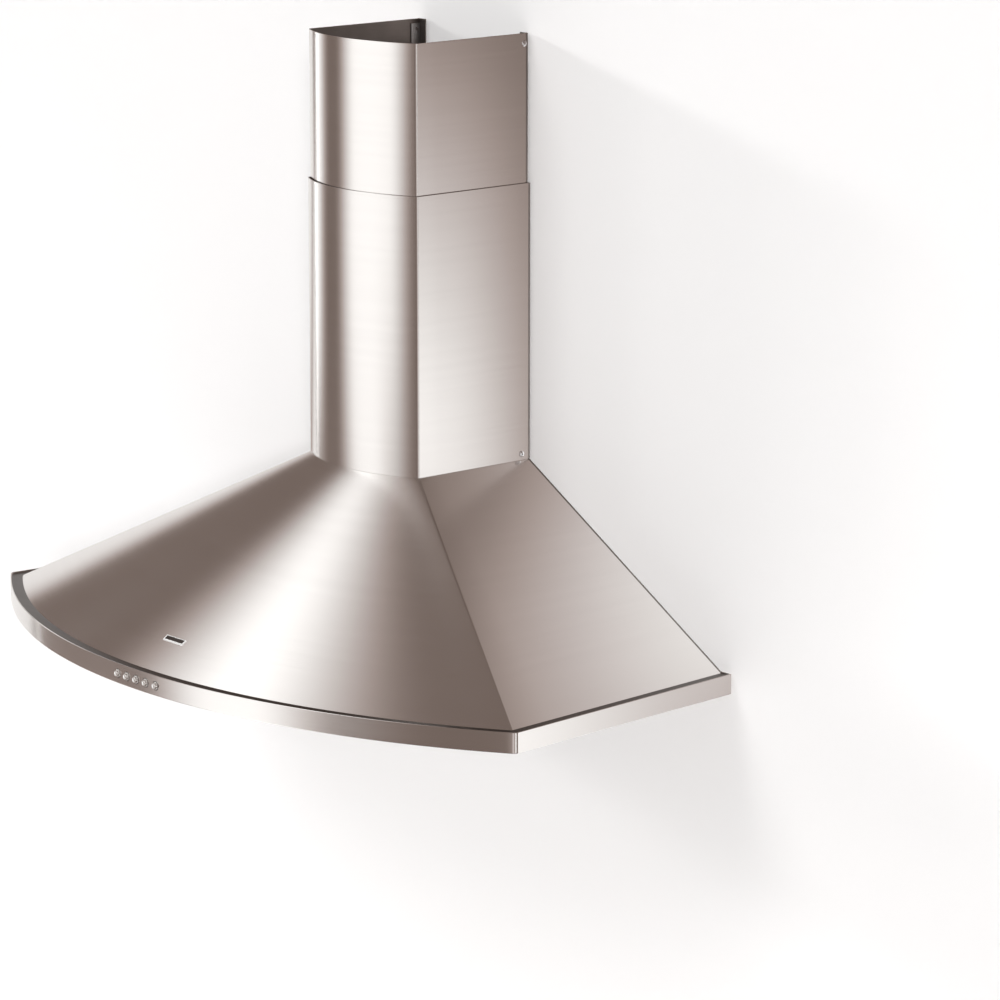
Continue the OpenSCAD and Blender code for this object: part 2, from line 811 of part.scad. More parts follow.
module blower_bracket_right() {
    x = scroll_half + sheet;
    height = bracket_top - bracket_low;
    color(galvanised) difference() {
        union() {
            translate([x, -bracket_arm, bracket_low]) cube([bracket_t, bracket_arm - sheet, height]);
            translate([x, -sheet - bracket_t, bracket_low]) cube([bracket_leg, bracket_t, height]);
        }
        for (z = bracket_screws_z) translate([x - 1, -plate_screw_y, z]) rotate([0, 90, 0])
            cylinder(r = screw_hole_r, h = bracket_t + 2, $fn = small_fn);
        for (z = leg_screws_z) translate([x + leg_screw_x, 0, z]) rotate([90, 0, 0])
            cylinder(r = screw_hole_r, h = bracket_t + 3, $fn = small_fn);
    }
}

module blower_screws() {
    x = scroll_half + sheet;
    color(aluminium) for (s = [0, 1]) mirror([s, 0, 0]) {
        for (z = bracket_screws_z) translate([x + bracket_t, -plate_screw_y, z]) rotate([0, 90, 0])
            screw(4, 2.4, 2, bracket_t + sheet);
        for (z = leg_screws_z) translate([x + leg_screw_x, -sheet - bracket_t, z]) rotate([90, 0, 0])
            screw(4, 2.4, 2, bracket_t);
    }
}

// Duct outlet

duct_y = -(chimney_d + chimney_bow) / 2;
adapter_h = 26;
collar_z = outlet_z + adapter_h;
collar_t = 1.8;
collar_flange = 5;
duct_r = duct_d / 2;
flap_z = collar_z + 24;
flap_t = 1.2;
flap_seat = 4;
knuckle_r = flap_pin_d / 2 + 1.5;

// Square to round piece between scroll and collar
module adapter_body(t) {
    hull() {
        translate([-scroll_half - sheet + t, scroll_front + t, outlet_z])
            cube([2 * (scroll_half + sheet - t), outlet_back + sheet - scroll_front - fan_y - 2 * t, 0.1]);
        translate([0, duct_y, collar_z - 0.1]) cylinder(r = duct_r - t, h = 0.1, $fn = 32);
    }
}

module outlet_adapter() {
    grow = 0.2;
    color(grey_plastic) difference() {
        adapter_body(0);
        translate([0, 0, -grow]) adapter_body(collar_t);
        translate([0, 0, grow]) adapter_body(collar_t);
    }
}

module outlet_collar() {
    r = duct_r - collar_t;
    bar = 10;
    color(grey_plastic) translate([0, duct_y, 0]) difference() {
        union() {
            translate([0, 0, collar_z]) rotate_extrude($fn = round_fn) polygon([
                [r, 0], [duct_r + collar_flange, 0], [duct_r + collar_flange, 2], [duct_r, 2],
                [duct_r, collar_h], [r, collar_h]
            ]);
            translate([0, 0, flap_z - flap_t / 2 - seat - 3]) rotate_extrude($fn = round_fn)
                polygon([[r - flap_seat, 0], [r + 0.5, 0], [r + 0.5, 3], [r - flap_seat, 3]]);
            intersection() {
                translate([-duct_r, -bar / 2, flap_z - knuckle_r - seat - 4]) cube([duct_d, bar, 4]);
                cylinder(r = r + 0.5, h = 2 * flap_z, $fn = round_fn);
            }
        }
        for (s = [-1, 1]) translate([-duct_r - 1, s * flap_pitch / 2, flap_z]) rotate([0, 90, 0])
            cylinder(d = flap_pin_d, h = duct_d + 2, $fn = small_fn);
    }
}

module flap_pins() {
    half = sqrt(pow(duct_r, 2) - pow(flap_pitch / 2, 2)) - seat;
    color(aluminium) for (s = [-1, 1]) translate([-half, duct_y + s * flap_pitch / 2, flap_z])
        rotate([0, 90, 0]) cylinder(d = flap_pin_d, h = 2 * half, $fn = small_fn);
}

// Half round flap on a knuckle, drawn for the side of the duct that faces the wall
module flap() {
    r = duct_r - collar_t - 1;
    knuckle_half = 58;
    start = flap_pitch / 2 + flap_pin_d / 2 + 0.6;
    color(aluminium) difference() {
        union() {
            flat(flap_z - flap_t / 2, flap_t) intersection() {
                circle(r = r, $fn = round_fn);
                translate([-duct_r, start]) square([duct_d, duct_r]);
            }
            translate([-knuckle_half, flap_pitch / 2, flap_z]) rotate([0, 90, 0])
                cylinder(r = knuckle_r, h = 2 * knuckle_half, $fn = small_fn);
        }
        translate([-duct_r, flap_pitch / 2, flap_z]) rotate([0, 90, 0])
            cylinder(d = flap_pin_d + 2 * bush_gap, h = duct_d, $fn = small_fn);
    }
}

module flap_rear() {
    translate([0, duct_y, 0]) flap();
}

module flap_front() {
    translate([0, duct_y, 0]) mirror([0, 1, 0]) flap();
}

// Terminal box and capacitor on the back plate

box_size = [90, 45, 45];
box_at = [hook_spacing / 2 + 30, -sheet - box_size[1], safety_h + 12];
box_wall = 2;
entry_r = 6;
entry_h = 4;

// Box that is open in front, with a moulded cable entry on top
module terminal_box() {
    entry = box_at + [24, box_size[1] / 2, box_size[2]];
    color(grey_plastic) difference() {
        union() {
            translate(box_at) cube(box_size);
            translate(entry) cylinder(r1 = entry_r + 3, r2 = entry_r + 2, h = entry_h, $fn = small_fn);
        }
        translate(box_at + [box_wall, -1, box_wall])
            cube(box_size - [2 * box_wall, box_wall - 1, 2 * box_wall]);
        translate(entry - [0, 0, 2 * box_wall])
            cylinder(r = entry_r, h = 2 * box_wall + entry_h + 1, $fn = small_fn);
    }
}

module terminal_lid() {
    color(grey_plastic) translate([box_at[0], box_at[1] - box_wall, box_at[2]]) {
        cube([box_size[0], box_wall, box_size[2]]);
        for (x = [8, box_size[0] - 8], z = [8, box_size[2] - 8])
            translate([x, 0, z]) rotate([90, 0, 0]) screw(3, 1.8, 1.2, 1);
    }
}

// Cable gland in the top flange, in the chimney's corner beside the duct
gland_x = chimney_w / 2 - 15;
gland_y = -18;
gland_bore = 5;
gland_thread = 7;
gland_h = 18;
gland_tail = 6;

module cable_gland() {
    low = -sheet - gland_tail;
    color(black_plastic) translate([gland_x, gland_y, canopy_top - seat]) difference() {
        union() {
            translate([0, 0, low]) cylinder(r = gland_thread, h = -low, $fn = small_fn);
            translate([0, 0, -sheet - 4]) cylinder(r = 10, h = 4, $fn = 6);
            cylinder(r = 11, h = 5, $fn = 6);
            translate([0, 0, 5]) cylinder(r = 8.5, h = gland_h - 9, $fn = small_fn);
            translate([0, 0, gland_h - 4]) cylinder(r1 = 8.5, r2 = 6.5, h = 4, $fn = small_fn);
        }
        translate([0, 0, low - 1]) cylinder(r = gland_bore, h = gland_h - low + 2, $fn = small_fn);
    }
}

cap_r = 15;
cap_h = 55;
cap_at = [-150, -sheet - bracket_t - cap_r, 50];

module capacitor() {
    color(white_plastic) translate(cap_at) {
        rotate_extrude($fn = small_fn) polygon([
            [0, 0], [cap_r - 1, 0], [cap_r, 1], [cap_r, cap_h - 3], [cap_r - 2, cap_h], [0, cap_h]
        ]);
        for (s = [-1, 1]) translate([s * 5 - 2, -0.4, cap_h - 1]) cube([4, 0.8, 9]);
    }
}

module capacitor_clip() {
    height = 12;
    foot = 48;
    color(galvanised) translate([cap_at[0], cap_at[1], cap_at[2] + 20]) difference() {
        union() {
            cylinder(r = cap_r + 1.2, h = height, $fn = small_fn);
            translate([-foot / 2, cap_r, 0]) cube([foot, bracket_t, height]);
        }
        translate([0, 0, -1]) cylinder(r = cap_r, h = height + 2, $fn = small_fn);
        for (s = [-1, 1]) translate([s * 19, 0, height / 2]) rotate([-90, 0, 0])
            cylinder(d = 4, h = 2 * cap_r, $fn = small_fn);
    }
}

// Chimney cover

cover_screw_y = 12;
cover_screw_h = 7;
top_screw_y = 5;
top_screw_drop = 11;
cover_hole_r = 2;
bracket_half = chimney_w / 2 - sheet - seat;
bar_half = chimney_w / 2 - flange_w - 5;
upper_back = sheet + flange_gap;
upper_inset = sheet + cover_gap;

// Sheet cover with a bowed front, flat sides and return flanges along the wall
module cover_sheet_plan(inset, back) {
    difference() {
        bowed_plan(cover_plan, inset, back, chimney_bend + inset);
        bowed_plan(cover_plan, inset + sheet, back + sheet, chimney_bend + inset);
        translate([-chimney_w / 2 + inset + flange_w, -back - 2 * sheet])
            square([chimney_w - 2 * inset - 2 * flange_w, 3 * sheet]);
    }
}

module side_holes(y, z) {
    translate([-chimney_w, y, z]) rotate([0, 90, 0]) cylinder(r = cover_hole_r, h = 2 * chimney_w, $fn = small_fn);
}

module lower_cover() {
    color(steel) difference() {
        flat(canopy_top, lower_h) cover_sheet_plan(0, 0);
        side_holes(-cover_screw_y, canopy_top + cover_screw_h);
    }
}

module upper_cover() {
    color(steel) difference() {
        flat(upper_foot, upper_top - upper_foot) cover_sheet_plan(upper_inset, upper_back);
        side_holes(-upper_back - top_screw_y, upper_top - top_screw_drop);
    }
}

// Strip on the back plate with ears that the lower cover is screwed to
module lower_bracket() {
    y = -sheet - seat;
    color(galvanised) difference() {
        union() {
            translate([-bracket_half, y - sheet, canopy_top]) cube([2 * bracket_half, sheet, lower_bracket_h]);
            for (s = [0, 1]) mirror([s, 0, 0])
                translate([bracket_half - sheet, -cover_screw_y - 9, canopy_top])
                    cube([sheet, cover_screw_y + 9 + y, lower_bracket_h]);
        }
        side_holes(-cover_screw_y, canopy_top + cover_screw_h);
    }
}

module lower_cover_screws() {
    color(aluminium) for (s = [0, 1]) mirror([s, 0, 0])
        translate([chimney_w / 2, -cover_screw_y, canopy_top + cover_screw_h]) rotate([0, 90, 0])
            screw(3.5, 1.8, cover_hole_r - 0.1, 3 * sheet);
}

// Wall bar with ears that reach round the upper cover's flanges to its sides
module upper_bracket() {
    bar_z = upper_top - bar_drop - bar_h;
    ear_x = chimney_w / 2 - upper_inset - sheet - seat;
    wing_y = -upper_back - 2 * sheet - seat;
    ear_y = -upper_back - top_screw_y - 8;
    color(galvanised) difference() {
        union() {
            translate([-bar_half, -sheet, bar_z]) cube([2 * bar_half, sheet, bar_h]);
            for (s = [0, 1]) mirror([s, 0, 0]) {
                translate([bar_half - sheet, wing_y, bar_z]) cube([sheet, -wing_y, bar_h]);
                translate([bar_half - sheet, wing_y, bar_z]) cube([ear_x - bar_half + sheet, sheet, bar_h]);
                translate([ear_x - sheet, ear_y, bar_z])
                    cube([sheet, wing_y + sheet - ear_y, upper_top - top_screw_drop + 6 - bar_z]);
            }
        }
        for (s = [-1, 1]) translate([s * bar_spacing / 2, 1, bar_z + bar_h / 2]) rotate([90, 0, 0])
            cylinder(d = bar_hole_d, h = sheet + 2, $fn = small_fn);
        side_holes(-upper_back - top_screw_y, upper_top - top_screw_drop);
    }
}

module upper_cover_screws() {
    color(aluminium) for (s = [0, 1]) mirror([s, 0, 0])
        translate([chimney_w / 2 - upper_inset, -upper_back - top_screw_y, upper_top - top_screw_drop])
            rotate([0, 90, 0]) screw(3.5, cover_gap - slide, cover_hole_r - 0.1, 3 * sheet);
}

// Places a piece with the origin at the hanging holes, on the right or mirrored to the left
module place(left = false) {
    translate([0, 0, -hook_h]) mirror([left ? 1 : 0, 0, 0]) children();
}

place() rim_front_band();
place(true) rim_side_right();  // rim_side_left
place() rim_side_right();
place() canopy_front_panel();
place(true) canopy_side_right();  // canopy_side_left
place() canopy_side_right();
place() canopy_top_flange();
place() back_plate();
place() underside_panel();
place(true) filter_frame_right();  // filter_frame_left
place() filter_frame_right();
place(true) filter_net_right();  // filter_net_left
place() filter_net_right();
place(true) filter_catch_right();  // filter_catch_left
place() filter_catch_right();
place(true) lamp_housing_right();  // lamp_housing_left
place() lamp_housing_right();
place(true) lamp_ring_right();  // lamp_ring_left
place() lamp_ring_right();
place(true) lamp_lens_right();  // lamp_lens_left
place() lamp_lens_right();
place(true) lamp_bulb_right();  // lamp_bulb_left
place() lamp_bulb_right();
place() lamp_driver();
place() button(1);  // button_1
place() button(2);  // button_2
place() button(3);  // button_3
place() button(4);  // button_4
place() button(5);  // button_5
place() switch_block();
place() scroll_wall();
place(true) scroll_plate_right();  // scroll_plate_left
place() scroll_plate_right();
place() impeller();
place() motor_shaft();
place() motor_can();
place() motor_bushes();
place() motor_bracket();
place(true) blower_bracket_right();  // blower_bracket_left
place() blower_bracket_right();
place() blower_screws();
place() outlet_adapter();
place() outlet_collar();
place() flap_front();
place() flap_rear();
place() flap_pins();
place() terminal_box();
place() terminal_lid();
place() cable_gland();
place() capacitor();
place() capacitor_clip();
place() lower_cover();
place() lower_bracket();
place() lower_cover_screws();
place() upper_cover();
place() upper_bracket();
place() upper_cover_screws();
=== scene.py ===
# %% [markdown]
# # A wall mount range hood in brushed steel
# The hood is a low canopy with a bowed front on a slim rim band, and a two-piece chimney cover above it.
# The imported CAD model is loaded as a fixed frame: it gives every piece its place and its real size.
# What follows gives the pieces their finishes, and makes the large bowed sheets again as smooth meshes.

# %% Load the frame
import json
import math

import bmesh
import bpy
from mathutils import Matrix, Vector


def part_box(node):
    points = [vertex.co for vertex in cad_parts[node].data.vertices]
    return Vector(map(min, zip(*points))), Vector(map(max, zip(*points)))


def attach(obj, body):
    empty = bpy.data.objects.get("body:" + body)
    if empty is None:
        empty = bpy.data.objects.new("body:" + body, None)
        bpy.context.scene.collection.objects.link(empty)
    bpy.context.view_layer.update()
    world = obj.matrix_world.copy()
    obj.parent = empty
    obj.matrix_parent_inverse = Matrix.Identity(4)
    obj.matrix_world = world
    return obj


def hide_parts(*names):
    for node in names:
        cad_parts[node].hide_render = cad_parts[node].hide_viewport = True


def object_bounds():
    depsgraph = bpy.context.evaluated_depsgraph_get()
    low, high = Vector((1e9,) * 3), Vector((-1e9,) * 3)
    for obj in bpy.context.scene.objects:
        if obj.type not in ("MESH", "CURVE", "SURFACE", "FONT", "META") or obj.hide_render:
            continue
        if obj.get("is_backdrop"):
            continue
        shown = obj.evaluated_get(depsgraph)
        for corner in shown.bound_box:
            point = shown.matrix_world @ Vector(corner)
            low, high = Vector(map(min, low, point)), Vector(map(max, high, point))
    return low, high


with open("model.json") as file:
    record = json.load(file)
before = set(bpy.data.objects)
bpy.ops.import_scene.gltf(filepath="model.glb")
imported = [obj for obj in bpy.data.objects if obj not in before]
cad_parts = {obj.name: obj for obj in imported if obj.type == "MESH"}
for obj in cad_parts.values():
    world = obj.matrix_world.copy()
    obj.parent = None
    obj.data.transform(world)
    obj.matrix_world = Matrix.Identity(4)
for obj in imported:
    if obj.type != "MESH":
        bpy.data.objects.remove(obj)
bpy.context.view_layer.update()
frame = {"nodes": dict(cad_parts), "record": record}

# %% [markdown]
# ## Camera
# The photograph looks at the hood from the front right and from slightly above, through a long lens.
# A camera could be aimed by eye, but a long lens shows every small error. Its place, angle and lens
# were worked out from the corners of the rim and of the chimney, so they are written down as numbers.

# %% Camera
CAMERA_PLACE = (3.68818, -3.09217, 1.05634)
LOOK_DOWN, LOOK_ROUND = 12.686, 49.682
# Length of the lens, in widths of the sensor
LENS_IN_SENSORS = 4.3975


def into_scene(name, data):
    """Makes an object from a camera, a lamp or a mesh and puts it in the scene."""
    thing = bpy.data.objects.new(name, data)
    bpy.context.scene.collection.objects.link(thing)
    return thing


camera_data = bpy.data.cameras.new("camera")
camera_data.sensor_width = 36
camera_data.lens = LENS_IN_SENSORS * camera_data.sensor_width
camera_data.clip_end = 50
camera = into_scene("camera", camera_data)
camera.location = CAMERA_PLACE
camera.rotation_euler = (math.radians(90 - LOOK_DOWN), 0, math.radians(LOOK_ROUND))
bpy.context.scene.camera = camera
print("camera", round(camera.location.length, 2), "m from the wall fixing, lens", round(camera_data.lens, 1), "mm")

# %% [markdown]
# ## Node helpers
# Every finish here is a small tree of shader nodes. Typing each node and link by hand makes long, dull
# code, so a few helpers do it: one starts a finish and hands over its main shader, one adds a node and
# fills its inputs with numbers or with the outputs of other nodes, and one does a step of arithmetic.

# %% Node helpers
def start_finish(name):
    """Returns a new material, its node tree and its main shader."""
    finish = bpy.data.materials.new(name)
    finish.use_nodes = True
    return finish, finish.node_tree, finish.node_tree.nodes["Principled BSDF"]


def connect(tree, value, socket):
    """Links an output to a socket, or writes a plain value into it."""
    if isinstance(value, bpy.types.NodeSocket):
        tree.links.new(value, socket)
    else:
        socket.default_value = value


def add(tree, kind, inputs=None, **settings):
    """Adds a node. inputs holds numbers, colours or other nodes' outputs, by the name or place of the input."""
    node = tree.nodes.new("ShaderNode" + kind)
    for key, value in settings.items():
        setattr(node, key, value)
    for key, value in (inputs or {}).items():
        connect(tree, value, node.inputs[key])
    return node


def calc(tree, operation, *values, kind="Math"):
    """One step of arithmetic on numbers, or on vectors where kind is VectorMath."""
    return add(tree, kind, dict(enumerate(values)), operation=operation).outputs[0]


print("node helpers are ready")

# %% [markdown]
# ## Patterns
# No real surface is even: its tone, gloss and relief all wander a little. Painted pictures could show that,
# but they need a file and a way to wrap it round the piece. Noise that is worked out at each point of the
# object needs neither. These helpers make the noise, and turn it into a tone, a gloss or a relief.

# %% Patterns
def object_place(tree):
    """The place of a point on the object, in metres."""
    return add(tree, "TexCoord").outputs["Object"]


def noise(tree, place, stretch, detail=3.0, rough=0.55):
    """Noise that is stretched: a larger number means finer grain in that direction, per metre."""
    scaled = add(tree, "Mapping", {"Vector": place, "Scale": stretch}).outputs[0]
    settings = {"Vector": scaled, "Scale": 1.0, "Detail": detail, "Roughness": rough}
    return add(tree, "TexNoise", settings).outputs[0]


def spread(tree, value, low, high, old_low=0.3, old_high=0.7):
    """Turns a value between old_low and old_high into one between low and high."""
    return add(tree, "MapRange", {0: value, 1: old_low, 2: old_high, 3: low, 4: high}).outputs[0]


def tint(tree, value, dark, light, old_low=0.3, old_high=0.7):
    """A colour between dark and light that follows a value."""
    ramp = add(tree, "ValToRGB", {0: spread(tree, value, 0, 1, old_low, old_high)})
    ramp.color_ramp.elements[0].color = (*dark, 1)
    ramp.color_ramp.elements[1].color = (*light, 1)
    return ramp.outputs[0]


def bump(tree, value, strength, depth):
    """Small relief from a value. depth is in metres."""
    return add(tree, "Bump", {"Height": value, "Strength": strength, "Distance": depth}).outputs[0]


print("pattern helpers are ready")

# %% [markdown]
# ## Brushed stainless steel
# The sheet was brushed with an abrasive belt, so its surface is full of fine level scratches. They do two
# things: close up they show as grain, and from afar they smear every highlight across the grain, which on
# upright sheet means up and down. Plain roughness can't smear one way only, so the shader's anisotropy does
# it. The way of the grain is worked out from the surface itself, as the level line that lies in it.

# %% Brushed stainless steel
# How far highlights are drawn out, and a quarter turn so that it happens across the grain
SMEAR, SMEAR_TURN = 0.55, 0.25
# How much the roughness wanders
UNEVEN = 0.02
# Level sheet has no level line of its own, so this small push along x gives it one
NUDGE = (0.001, 0, 0)


def brushed_steel(name, stretch, dark, light, roughness):
    """Steel with grain. stretch is the scale of the grain along x, y and z."""
    finish, tree, shader = start_finish(name)
    place = object_place(tree)
    fine = noise(tree, place, stretch, detail=4, rough=0.7)
    broad = noise(tree, place, [s * 0.12 + 1.5 for s in stretch], detail=2)
    clouds = noise(tree, place, (5, 5, 5), detail=2)
    grain = calc(tree, "ADD", fine, broad)
    connect(tree, tint(tree, grain, dark, light, 0.7, 1.3), shader.inputs["Base Color"])
    scratches = spread(tree, fine, -UNEVEN, UNEVEN)
    wear = spread(tree, clouds, roughness - UNEVEN / 2, roughness + UNEVEN / 2)
    connect(tree, calc(tree, "ADD", scratches, wear), shader.inputs["Roughness"])
    connect(tree, bump(tree, fine, 0.02, 0.0001), shader.inputs["Normal"])
    shader.inputs["Metallic"].default_value = 1
    shader.inputs["Anisotropic"].default_value = SMEAR
    shader.inputs["Anisotropic Rotation"].default_value = SMEAR_TURN
    normal = add(tree, "NewGeometry").outputs["Normal"]
    level = calc(tree, "CROSS_PRODUCT", (0, 0, 1), normal, kind="VectorMath")
    along = calc(tree, "ADD", level, NUDGE, kind="VectorMath")
    connect(tree, calc(tree, "NORMALIZE", along, kind="VectorMath"), shader.inputs["Tangent"])
    return finish


# Scale of the grain along x, y and z: fine upwards on upright sheet, and fine along y on level sheet
LEVEL_GRAIN = (7, 7, 1500)
FLAT_GRAIN = (7, 1500, 200)
steel = brushed_steel("brushed_steel", LEVEL_GRAIN, (0.779, 0.759, 0.744), (0.801, 0.781, 0.766), 0.17)
steel_flat = brushed_steel("brushed_steel_flat", FLAT_GRAIN, (0.75, 0.73, 0.715), (0.78, 0.76, 0.745), 0.26)
# Dark steel: painted shade on the ledge under the canopy, and the dark field of the plate
ledge_shade_and_dark_field = brushed_steel("ledge_shade_and_dark_field_steel", FLAT_GRAIN, (0.085, 0.075, 0.07), (0.11, 0.097, 0.09), 0.34)
print("brushed steel:", len(steel.node_tree.nodes), "nodes")

# %% [markdown]
# ## Metals inside the hood
# Behind the steel the hood is made of cheaper metals. Hot-dipped zinc shows dull patches of crystal, cast and
# rolled aluminium is paler and softer, and a sintered bronze bush is brown and slightly porous. Voronoi cells
# make good crystals, and noise at two sizes is enough for the rest.

# %% Metals inside the hood
def plain_metal(name, dark, light, roughness, stretch=(220, 220, 220), relief=0.05):
    """Metal whose tone drifts in clouds, and whose gloss and relief follow a finer noise."""
    finish, tree, shader = start_finish(name)
    place = object_place(tree)
    fine = noise(tree, place, stretch, detail=4)
    clouds = noise(tree, place, (16, 16, 16), detail=3)
    connect(tree, tint(tree, clouds, dark, light), shader.inputs["Base Color"])
    connect(tree, spread(tree, fine, roughness - 0.06, roughness + 0.08), shader.inputs["Roughness"])
    connect(tree, bump(tree, fine, relief, 0.0003), shader.inputs["Normal"])
    shader.inputs["Metallic"].default_value = 1
    return finish


def zinc_sheet(name):
    """Zinc coat: each crystal has its own tone and gloss, and noise bends the crystals' edges."""
    finish, tree, shader = start_finish(name)
    place = object_place(tree)
    warp = noise(tree, place, (40, 40, 40), detail=2)
    warped = calc(tree, "ADD", place, warp, kind="VectorMath")
    crystals = add(tree, "TexVoronoi", {"Vector": warped, "Scale": 110.0})
    shade = add(tree, "SeparateColor", {0: crystals.outputs["Color"]}).outputs[0]
    connect(tree, tint(tree, shade, (0.50, 0.52, 0.54), (0.68, 0.70, 0.71), 0, 1), shader.inputs["Base Color"])
    connect(tree, spread(tree, shade, 0.34, 0.52, 0, 1), shader.inputs["Roughness"])
    connect(tree, bump(tree, noise(tree, place, (300, 300, 300)), 0.05, 0.0003), shader.inputs["Normal"])
    shader.inputs["Metallic"].default_value = 1
    return finish


zinc = zinc_sheet("galvanised_sheet")
aluminium = plain_metal("filter_aluminium", (0.74, 0.75, 0.76), (0.82, 0.83, 0.84), 0.38, (60, 900, 900))
# Darker steel for the insides of the covers; on the strips along the wall it is a painted shadow line
dark_inside_and_edge_shade = plain_metal("dark_inside_and_edge_shade", (0.24, 0.22, 0.21), (0.30, 0.275, 0.26), 0.42, (40, 40, 900), 0.04)
turned = plain_metal("turned_steel", (0.70, 0.70, 0.71), (0.78, 0.78, 0.79), 0.25, (900, 900, 900))
satin = plain_metal("button_metal", (0.86, 0.86, 0.85), (0.92, 0.92, 0.91), 0.25, (1200, 1200, 1200))
motor_grey = plain_metal("motor_steel", (0.29, 0.30, 0.32), (0.36, 0.37, 0.39), 0.5, (150, 900, 900), 0.12)
bronze = plain_metal("sintered_bronze", (0.58, 0.42, 0.22), (0.72, 0.53, 0.29), 0.45, (1500, 1500, 1500), 0.2)
print("metals:", [m.name for m in (zinc, aluminium, dark_inside_and_edge_shade, turned, satin, motor_grey, bronze)])

# %% [markdown]
# ## Plastics and glass
# The switch block, the boxes, the duct collar and the cable gland are moulded. A mould leaves a very fine
# even texture that softens the gloss. The small plate is painted pale with the same fine skin, so it is made
# the same way: a painted highlight in place of the bright reflection of its polished metal. The lamp lenses
# are frosted glass: light passes, but no clear picture.

# %% Plastics and glass
def moulded(name, dark, light, roughness):
    """Plastic, or the plate's painted highlight, with a fine skin and a tone that drifts in clouds."""
    finish, tree, shader = start_finish(name)
    place = object_place(tree)
    skin = noise(tree, place, (1400, 1400, 1400), detail=2)
    clouds = noise(tree, place, (25, 25, 25), detail=2)
    connect(tree, tint(tree, clouds, dark, light), shader.inputs["Base Color"])
    connect(tree, spread(tree, skin, roughness - 0.05, roughness + 0.07), shader.inputs["Roughness"])
    connect(tree, bump(tree, skin, 0.12, 0.0002), shader.inputs["Normal"])
    return finish


def frosted_glass(name):
    """Glass whose rough skin scatters the light that goes through."""
    finish, tree, shader = start_finish(name)
    place = object_place(tree)
    frost = noise(tree, place, (700, 700, 700), detail=3)
    connect(tree, spread(tree, frost, 0.22, 0.38), shader.inputs["Roughness"])
    connect(tree, tint(tree, frost, (0.90, 0.93, 0.94), (0.97, 0.98, 0.98)), shader.inputs["Base Color"])
    connect(tree, bump(tree, frost, 0.1, 0.0004), shader.inputs["Normal"])
    shader.inputs["Transmission Weight"].default_value = 0.9
    shader.inputs["IOR"].default_value = 1.5
    return finish


white_plastic = moulded("white_plastic", (0.80, 0.80, 0.77), (0.86, 0.86, 0.83), 0.45)
black_plastic = moulded("black_plastic", (0.022, 0.022, 0.024), (0.035, 0.035, 0.038), 0.42)
plate_highlight_paint = moulded("plate_highlight_paint", (0.84, 0.83, 0.82), (0.90, 0.89, 0.88), 0.35)
grey_plastic = moulded("grey_plastic", (0.30, 0.31, 0.33), (0.36, 0.37, 0.39), 0.5)
bulb_white = moulded("bulb_white", (0.84, 0.82, 0.76), (0.90, 0.89, 0.84), 0.3)
lens_glass = frosted_glass("frosted_glass")
moulds = (white_plastic, black_plastic, plate_highlight_paint, grey_plastic, bulb_white)
print("moulded:", [m.name for m in moulds], "and glass:", lens_glass.name)

# %% [markdown]
# ## A finish for every CAD node
# The record names a material slot for each node. Going by that list gives every node its finish, and a
# node can't be forgotten, because a slot without a finish would stop the script here.

# %% A finish for every CAD node
FINISHES = {
    "brushed_steel": steel, "galvanised": zinc, "filter_aluminium": aluminium, "lamp_glass": lens_glass,
    "bulb": bulb_white, "white_plastic": white_plastic, "button_metal": satin, "black_plastic": black_plastic,
    "turned_steel": turned, "motor_steel": motor_grey, "bronze": bronze, "grey_plastic": grey_plastic,
}


def slots_by_node(record):
    """Finds the list in the record whose rows name a node and its material slot."""
    for value in record.values():
        if isinstance(value, list) and value and isinstance(value[0], dict) and "material_slot" in value[0]:
            return {row["node"]: row["material_slot"] for row in value}


node_slots = slots_by_node(frame["record"])
for name, node in frame["nodes"].items():
    node.data.materials.clear()
    node.data.materials.append(steel_flat if name == "underside_panel" else FINISHES[node_slots[name]])
print("finished nodes:", len(frame["nodes"]))

# %% [markdown]
# ## The bowed plan
# Seen from above, the rim, the canopy and the chimney covers all have the same kind of outline: two straight
# sides from the wall, a tight bend at each front corner, and one long bow between them. Four lengths say all
# about such an outline, and the rest, such as the bow's radius and the corner's place, follows from them.

# %% The bowed plan
MM = 0.001
# The rim's foot is 165 mm below the wall fixing, where the frame has its origin
FOOT_Z = -165
# Half the width at the wall and at the front corners, how far the corners are from the wall, and how far the
# bow goes beyond them, in mm
RIM = (422, 450, 323, 146)
COVER = (95, 95, 158, 26)


def bow_radius(plan):
    _, front_half, _, bow = plan
    return (front_half ** 2 + bow ** 2) / (2 * bow)


def bow_centre(plan):
    """The y of the bow's centre. The wall is at 0, and the front of the hood has negative y."""
    _, _, side, bow = plan
    return bow_radius(plan) - side - bow


def lean(plan):
    """How much further out a side is for every mm away from the wall."""
    wall_half, front_half, side, _ = plan
    return (front_half - wall_half) / side


def half_at_wall(plan, inset):
    """Half the width at the wall, with the side moved in by inset."""
    return plan[0] - inset * math.hypot(1, lean(plan))


def corner(plan, inset):
    """Front corner on the right where the side line meets the bow, both moved in by inset."""
    k, half, centre = lean(plan), half_at_wall(plan, inset), bow_centre(plan)
    b = k * half + centre
    c = half ** 2 + centre ** 2 - (bow_radius(plan) - inset) ** 2
    deep = (math.sqrt(b * b - (k * k + 1) * c) - b) / (k * k + 1)
    return half + k * deep, -deep


print("rim bow radius", round(bow_radius(RIM), 1), "mm, cover bow radius", round(bow_radius(COVER), 1), "mm")

# %% [markdown]
# ## Points along the outline
# A smooth sheet needs points where it bends: many on the bow and on the corners' bends, few on the straight
# sides. One function draws the right half at any distance inside the outermost outline, and the left half is
# its mirror image. One extra point close to the wall lets the last strip of a sheet be painted dark, as a
# painted shadow line where the sheet meets the wall.

# %% Points along the outline
# Width of that last strip, in mm
EDGE_STRIP = 2.6


